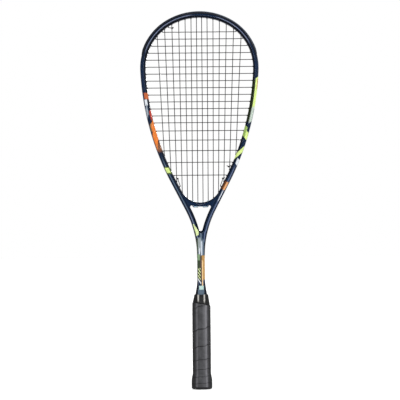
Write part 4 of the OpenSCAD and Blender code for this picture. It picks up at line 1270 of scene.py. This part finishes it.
def moulded(name, base, rough, gloss):
    """Black moulded plastic or rubber with a fine grain, dust and small scratches."""
    finish = Finish(name, base, Specular_IOR_Level=gloss, Roughness=rough)
    finish.coat(brighter(base, 1.5, 0.001), finish.step(finish.noise(60, 3.0, 0.55), 0.3, 0.7))
    finish.coat(paint(96, 98, 102), finish.step(finish.noise(900, 5.0, 0.7), 0.6, 0.75, 0.0, 0.2))
    dull = finish.step(finish.noise(220, 4.0, 0.6), 0.3, 0.7, rough - 0.06, rough + 0.1)
    return finish.done(Roughness=dull, Normal=finish.bump(finish.noise(2200, 2.0, 0.5), 0.00003, 0.4))


# %% Butt cap
CAP_HEIGHT, CAP_OUT, CAP_ROUND, CAP_CORNER = 4.2, 4.0, 4.6, 7.0
cap_plastic = moulded("cap_plastic", paint(22, 22, 24), 0.45, 0.2)
cap_rings = [(0.0, -4.0)]           # (height, how far out)
for t in np.linspace(0.0, 1.45, 11):
    cap_rings.append((CAP_HEIGHT * (1 - math.cos(t)), CAP_OUT - CAP_ROUND * (1 - math.sin(t))))
cap_rings += [(4.02, CAP_OUT), (4.16, 3.9), (CAP_HEIGHT, 3.65), (CAP_HEIGHT, 2.0)]
cap_points = [(x, y, z) for z, out in cap_rings for x, y in octagon(out, out, CAP_CORNER)]
cap_faces = ring_faces(len(cap_rings), 8 * PER_CORNER)
dress(make_piece("cap", cap_points, cap_faces, cap_plastic, 35.0), "cap_plastic", "butt_cap")

# %% Collar
rubber = moulded("collar_rubber", paint(12, 12, 13), 0.3, 0.12)
# Painted highlight: two pale vertical streaks either side of the middle of the collar's front and back, where
# its gloss would catch the light, fading towards the bottom.
wear_and_highlight = rubber.product(
    rubber.window(rubber.calc("ABSOLUTE", rubber.axes()[0]), 4.4, 6.7, 1.0),
    rubber.step(rubber.value("share"), 0.05, 0.45),
    rubber.step(rubber.noise(120, 3.0, 0.6), 0.2, 0.6, 0.65, 0.95),
)
rubber.coat(paint(204, 201, 196), wear_and_highlight)
rubber.done()
COLLAR_LOW, COLLAR_HIGH, COLLAR_SLANT, COLLAR_CORNER = 155.2, 172.0, -0.2, 5.0
COLLAR_RINGS = [            # (share of the height, how far out)
    (0.0, 0.2), (0.0, 0.95), (0.02, 1.18), (0.06, 1.25), (0.14, 1.25), (0.3, 1.22), (0.5, 1.2),
    (0.7, 1.2), (0.86, 1.18), (0.91, 1.3), (0.96, 1.28), (0.99, 1.1), (1.0, 0.8), (1.0, 0.1),
]
collar_points, collar_share = [], []
for share, out in COLLAR_RINGS:
    z = COLLAR_LOW + share * (COLLAR_HIGH - COLLAR_LOW)
    dx, dy = grip_flare(z)
    for x, y in octagon(dx + out, dy + out, COLLAR_CORNER):
        collar_share.append(share)
        collar_points.append((x, y, z + COLLAR_SLANT * x * (1 - share)))
collar_faces = ring_faces(len(COLLAR_RINGS) + 1, 8 * PER_CORNER, False)
collar_faces = [tuple(v % len(collar_points) for v in face) for face in collar_faces]
collar = make_piece("collar", collar_points, collar_faces, rubber, 50.0, {"share": collar_share})
dress(collar, "collar_rubber", "grip_collar")

# %% [markdown]
# ## Grip tape
# The tape is a soft strip with rounded edges, wound round the octagon. The turns lie closer near the
# butt, where the winder starts, so the seam heights are given turn by turn and read in between. Each
# point of the strip knows its place across the tape and how much painted highlight it takes on the
# octagon's corners. The finish darkens the tape's edges with the first and paints lighter lines along
# the corners with the second.

# %% The tape's turns
SEAM_TURNS = np.arange(-1, 9)
SEAM_HEIGHTS = [-9.0, 2.0, 13.0, 25.0, 38.5, 56.5, 82.0, 114.0, 158.0, 202.0]
TAPE_T, TAPE_FIT, SEAM_GAP, TAPE_LOW, TAPE_HIGH, TAPE_TURNS = 1.6, 0.2, 0.15, 4.4, 155.0, 7
TAPE_CORNER, TAPE_FADE = 6.0, 2
FULLER_HEIGHTS, FULLER = (25, 60, 130, 150), (0.1, 0.35, 0.45, 0.2)
# (place across the tape, share of its thickness) up to the middle
HALF_TAPE = [
    (0, 0), (0.0, 0.62), (0.004, 0.8), (0.018, 0.93), (0.045, 1.0), (0.09, 1.04), (0.18, 1.02), (0.34, 1.0)
]
TAPE_SECTION = HALF_TAPE + [(0.5, 1.0)] + [(1 - share, lift) for share, lift in reversed(HALF_TAPE)]
CORNER_HIGHLIGHT = (0.0, 0.6, 1.0, 1.0, 0.6, 0.0)      # painted highlight over the points of one corner
# Corners beyond RIDGE_Y at the front and back get the full painted highlight, the side corners a small share
# of it.
RIDGE_Y, SIDE_HIGHLIGHT = 10, 0.15
outline = octagon(0, 0, TAPE_CORNER)
steps = len(outline)
corner_highlights = [CORNER_HIGHLIGHT[n % PER_CORNER] * (1.0 if abs(p[1]) > RIDGE_Y else SIDE_HIGHLIGHT) for n, p in enumerate(outline)]
tape_points, tape_place, tape_highlight = [], [], []
tape_steps = range(-steps, TAPE_TURNS * steps + 1)
for n in tape_steps:
    low, high = (float(np.interp(n / steps + k, SEAM_TURNS, SEAM_HEIGHTS)) for k in (0, 1))
    top_limit = TAPE_HIGH + COLLAR_SLANT * outline[n % steps][0]
    low, high = (min(max(h, TAPE_LOW), top_limit) for h in (low, high - SEAM_GAP))
    thick = TAPE_T + float(np.interp(low, FULLER_HEIGHTS, FULLER))
    thick *= min(1.0, max(0.0, high - low) / TAPE_FADE)
    for share, lift in TAPE_SECTION:
        z = low + share * (high - low)
        dx, dy = (d + TAPE_FIT + lift * thick for d in grip_flare(z))
        x, y = octagon(dx, dy, TAPE_CORNER)[n % steps]
        tape_points.append((x, y, z))
        tape_place.append(share)
        tape_highlight.append(corner_highlights[n % steps])
tape_faces = ring_faces(len(tape_steps), len(TAPE_SECTION))

# %% The tape's finish
GRIME_AND_SHADE = paint(30, 30, 32)
cushion = Finish("grip_cushion", paint(62, 62, 64), Specular_IOR_Level=0.12, Roughness=0.55)
place, (x_mm, _, z_mm) = cushion.value("place"), cushion.axes()
cushion.coat(paint(78, 78, 81), cushion.step(cushion.noise(90, 4.0, 0.6), 0.3, 0.72))
# Painted highlight: the octagon's corners are painted lighter, unevenly, by the share stored on each point.
highlight_mottle = cushion.step(cushion.noise(140, 4.0, 0.6), 0.2, 0.7, 0.5, 1.0)
cushion.coat(paint(116, 115, 120), cushion.product(cushion.value("ridge"), highlight_mottle))
# Darker along both edges of every turn of the tape.
inside = cushion.product(cushion.step(place, 0.0, 0.05), cushion.step(place, 0.95, 1.0, 1.0, 0.0))
cushion.coat(GRIME_AND_SHADE, cushion.calc("SUBTRACT", 1.0, inside))
# Painted highlight: a lighter band right of the middle on the front and back flats, stronger higher up.
right_highlight = cushion.product(
    cushion.step(x_mm, 0.0, 7.0, 0.0, 0.3),
    cushion.step(x_mm, 8.0, 10.5, 1.0, 0.0),
    cushion.step(z_mm, 40.0, 140.0, 0.4, 1.0),
)
cushion.coat(paint(156, 155, 160), right_highlight)
# Painted shade: the left part of the front and back flats is painted darker.
cushion.coat(GRIME_AND_SHADE, cushion.step(x_mm, -9.0, -3.0, 0.3, 0.0))
# Painted shade: the sides of the octagon are painted darker than the front and back.
cushion.coat(paint(20, 20, 22), cushion.step(cushion.calc("ABSOLUTE", x_mm), 10.5, 13.5, 0.0, 0.8))
cushion.coat(paint(22, 22, 23), cushion.step(cushion.cells(1100), 0.05, 0.35, 0.6, 0.0))
grain = cushion.bump(cushion.cells(1500), 0.00008, 0.5)
creases = cushion.bump(cushion.noise(55, 3.0, 0.55, (0.35, 0.35, 3.0)), 0.0006, 0.3, Normal=grain)
dull = cushion.step(cushion.noise(240, 4.0, 0.6), 0.3, 0.7, 0.45, 0.65)
cushion.done(Roughness=dull, Normal=creases)
values = {"place": tape_place, "ridge": tape_highlight}
dress(make_piece("tape", tape_points, tape_faces, cushion, 55.0, values), "grip_cushion", "grip_tape")

# %% [markdown]
# ## Hidden parts
# The pallets and the two staples that hold the cap keep their CAD shape. They are out of sight, but a
# part that is taken apart should still look right, so they get a foam and a steel finish.

# %% Foam and steel
foam = Finish("pallet_foam", paint(96, 94, 88), Roughness=0.85, Specular_IOR_Level=0.2)
pores = foam.cells(900)
foam.coat(paint(146, 143, 134), foam.step(pores, 0.1, 0.5))
foam.done(Normal=foam.bump(pores, 0.0002, 0.5))
steel = Finish("staple_steel", paint(150, 152, 156), Metallic=1.0)
brushed = steel.noise(1500, 3.0, 0.6, (1, 1, 0.1))
steel.coat(paint(188, 190, 194), steel.step(brushed, 0.3, 0.7))
steel.done(Roughness=steel.step(brushed, 0.2, 0.8, 0.25, 0.45))
for stem, finish in (("handle_pallet", foam), ("butt_cap_staple", steel)):
    for end in ("_front", "_back"):
        node = bpy.data.objects[stem + end]
        if not node.material_slots:
            node.data.materials.append(finish.material)
        for slot in node.material_slots:
            slot.material = finish.material
print("foam on the pallets, steel on the staples")

# %% [markdown]
# ## Floor, light and background
# The racket stands on its butt on a pale floor under soft light. The floor and the world are white to
# the camera and to reflections, through the Light Path node, so the background is clean while the floor
# still takes the racket's shadow. Large area lamps keep every edge soft.

# %% Floor and world
bpy.ops.mesh.primitive_circle_add(vertices=96, radius=9.0, fill_type="NGON", location=(0, 0, 0))
floor = bpy.context.object
floor.name = "floor"
pale = Finish("pale_floor", (0.80, 0.80, 0.80, 1), Roughness=0.9, Specular_IOR_Level=0.1)
pale.coat((0.83, 0.83, 0.83, 1), pale.step(pale.noise(30, 3.0, 0.5), 0.3, 0.7))


def seen_directly(nodes):
    """One for rays that show the background: from the camera, mirrored or passed through."""
    rays = nodes.add("ShaderNodeLightPath")
    total = rays["Is Camera Ray"]
    for name in ("Is Glossy Ray", "Is Transmission Ray"):
        total = nodes.add("Math", {0: total, 1: rays[name]}, operation="ADD", use_clamp=True)[0]
    return total


from_racket = pale.add("VectorMath", {0: pale.place()}, operation="LENGTH")["Value"]
lit = pale.product(seen_directly(pale), pale.step(from_racket, 0.15, 1.5, 0.5, 1.0))
pale.done(Emission_Color=(1, 1, 1, 1), Emission_Strength=lit)
floor.data.materials.append(pale.material)
floor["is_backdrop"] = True

WORLD_DIM, WORLD_SEEN = 0.45, 1.0
world = bpy.data.worlds.new("studio")
world.use_nodes = True
scene.world = world
studio = Nodes(world.node_tree, "ShaderNode")
background = world.node_tree.nodes["Background"].inputs
level = studio.add("MapRange", {0: seen_directly(studio), 3: WORLD_DIM, 4: WORLD_SEEN})[0]
studio.put(level, background["Strength"])
studio.put((1, 1, 1, 1), background["Color"])

# %% Lamps
# (name, watts, width, height, place, aim)
LAMPS = [
    ("key", 9.0, 0.30, 1.5, (-1.35, -1.75, 0.75), (0, 0, 0.40)),
    ("fill", 11.0, 0.30, 1.5, (1.35, -1.75, 0.75), (0, 0, 0.40)),
    ("rim", 16.0, 0.5, 1.4, (1.7, 0.7, 1.1), (0, 0, 0.45)),
    ("top", 14.0, 1.4, 0.6, (0.2, -0.5, 2.4), (0, 0, 0.4)),
    ("front", 14.0, 0.4, 0.4, (0.0, -3.0, 0.75), (0, 0, 0.4)),
    ("behind", 14.0, 0.4, 0.4, (0.3, 3.0, 0.9), (0, 0, 0.4)),
]
for name, watts, wide, tall, place, aim in LAMPS:
    lamp = bpy.data.lights.new(name, "AREA")
    lamp.energy, lamp.shape, lamp.size, lamp.size_y = watts, "RECTANGLE", wide, tall
    holder = bpy.data.objects.new(name, lamp)
    holder.location = place
    holder.rotation_euler = (Vector(aim) - Vector(place)).to_track_quat("-Z", "Y").to_euler()
    scene.collection.objects.link(holder)
scene.view_settings.view_transform = "Standard"

# %% [markdown]
# ## Size and finish
# The finer skin must not change the racket's size. Both boxes are printed.

# %% Print both boxes
bpy.context.view_layer.update()
visual_box = [list(corner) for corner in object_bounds()]
for name, box in (("CAD", cad_box), ("visual", visual_box)):
    print(name, [round((b - a) * 1000, 1) for a, b in zip(*box)], "mm")
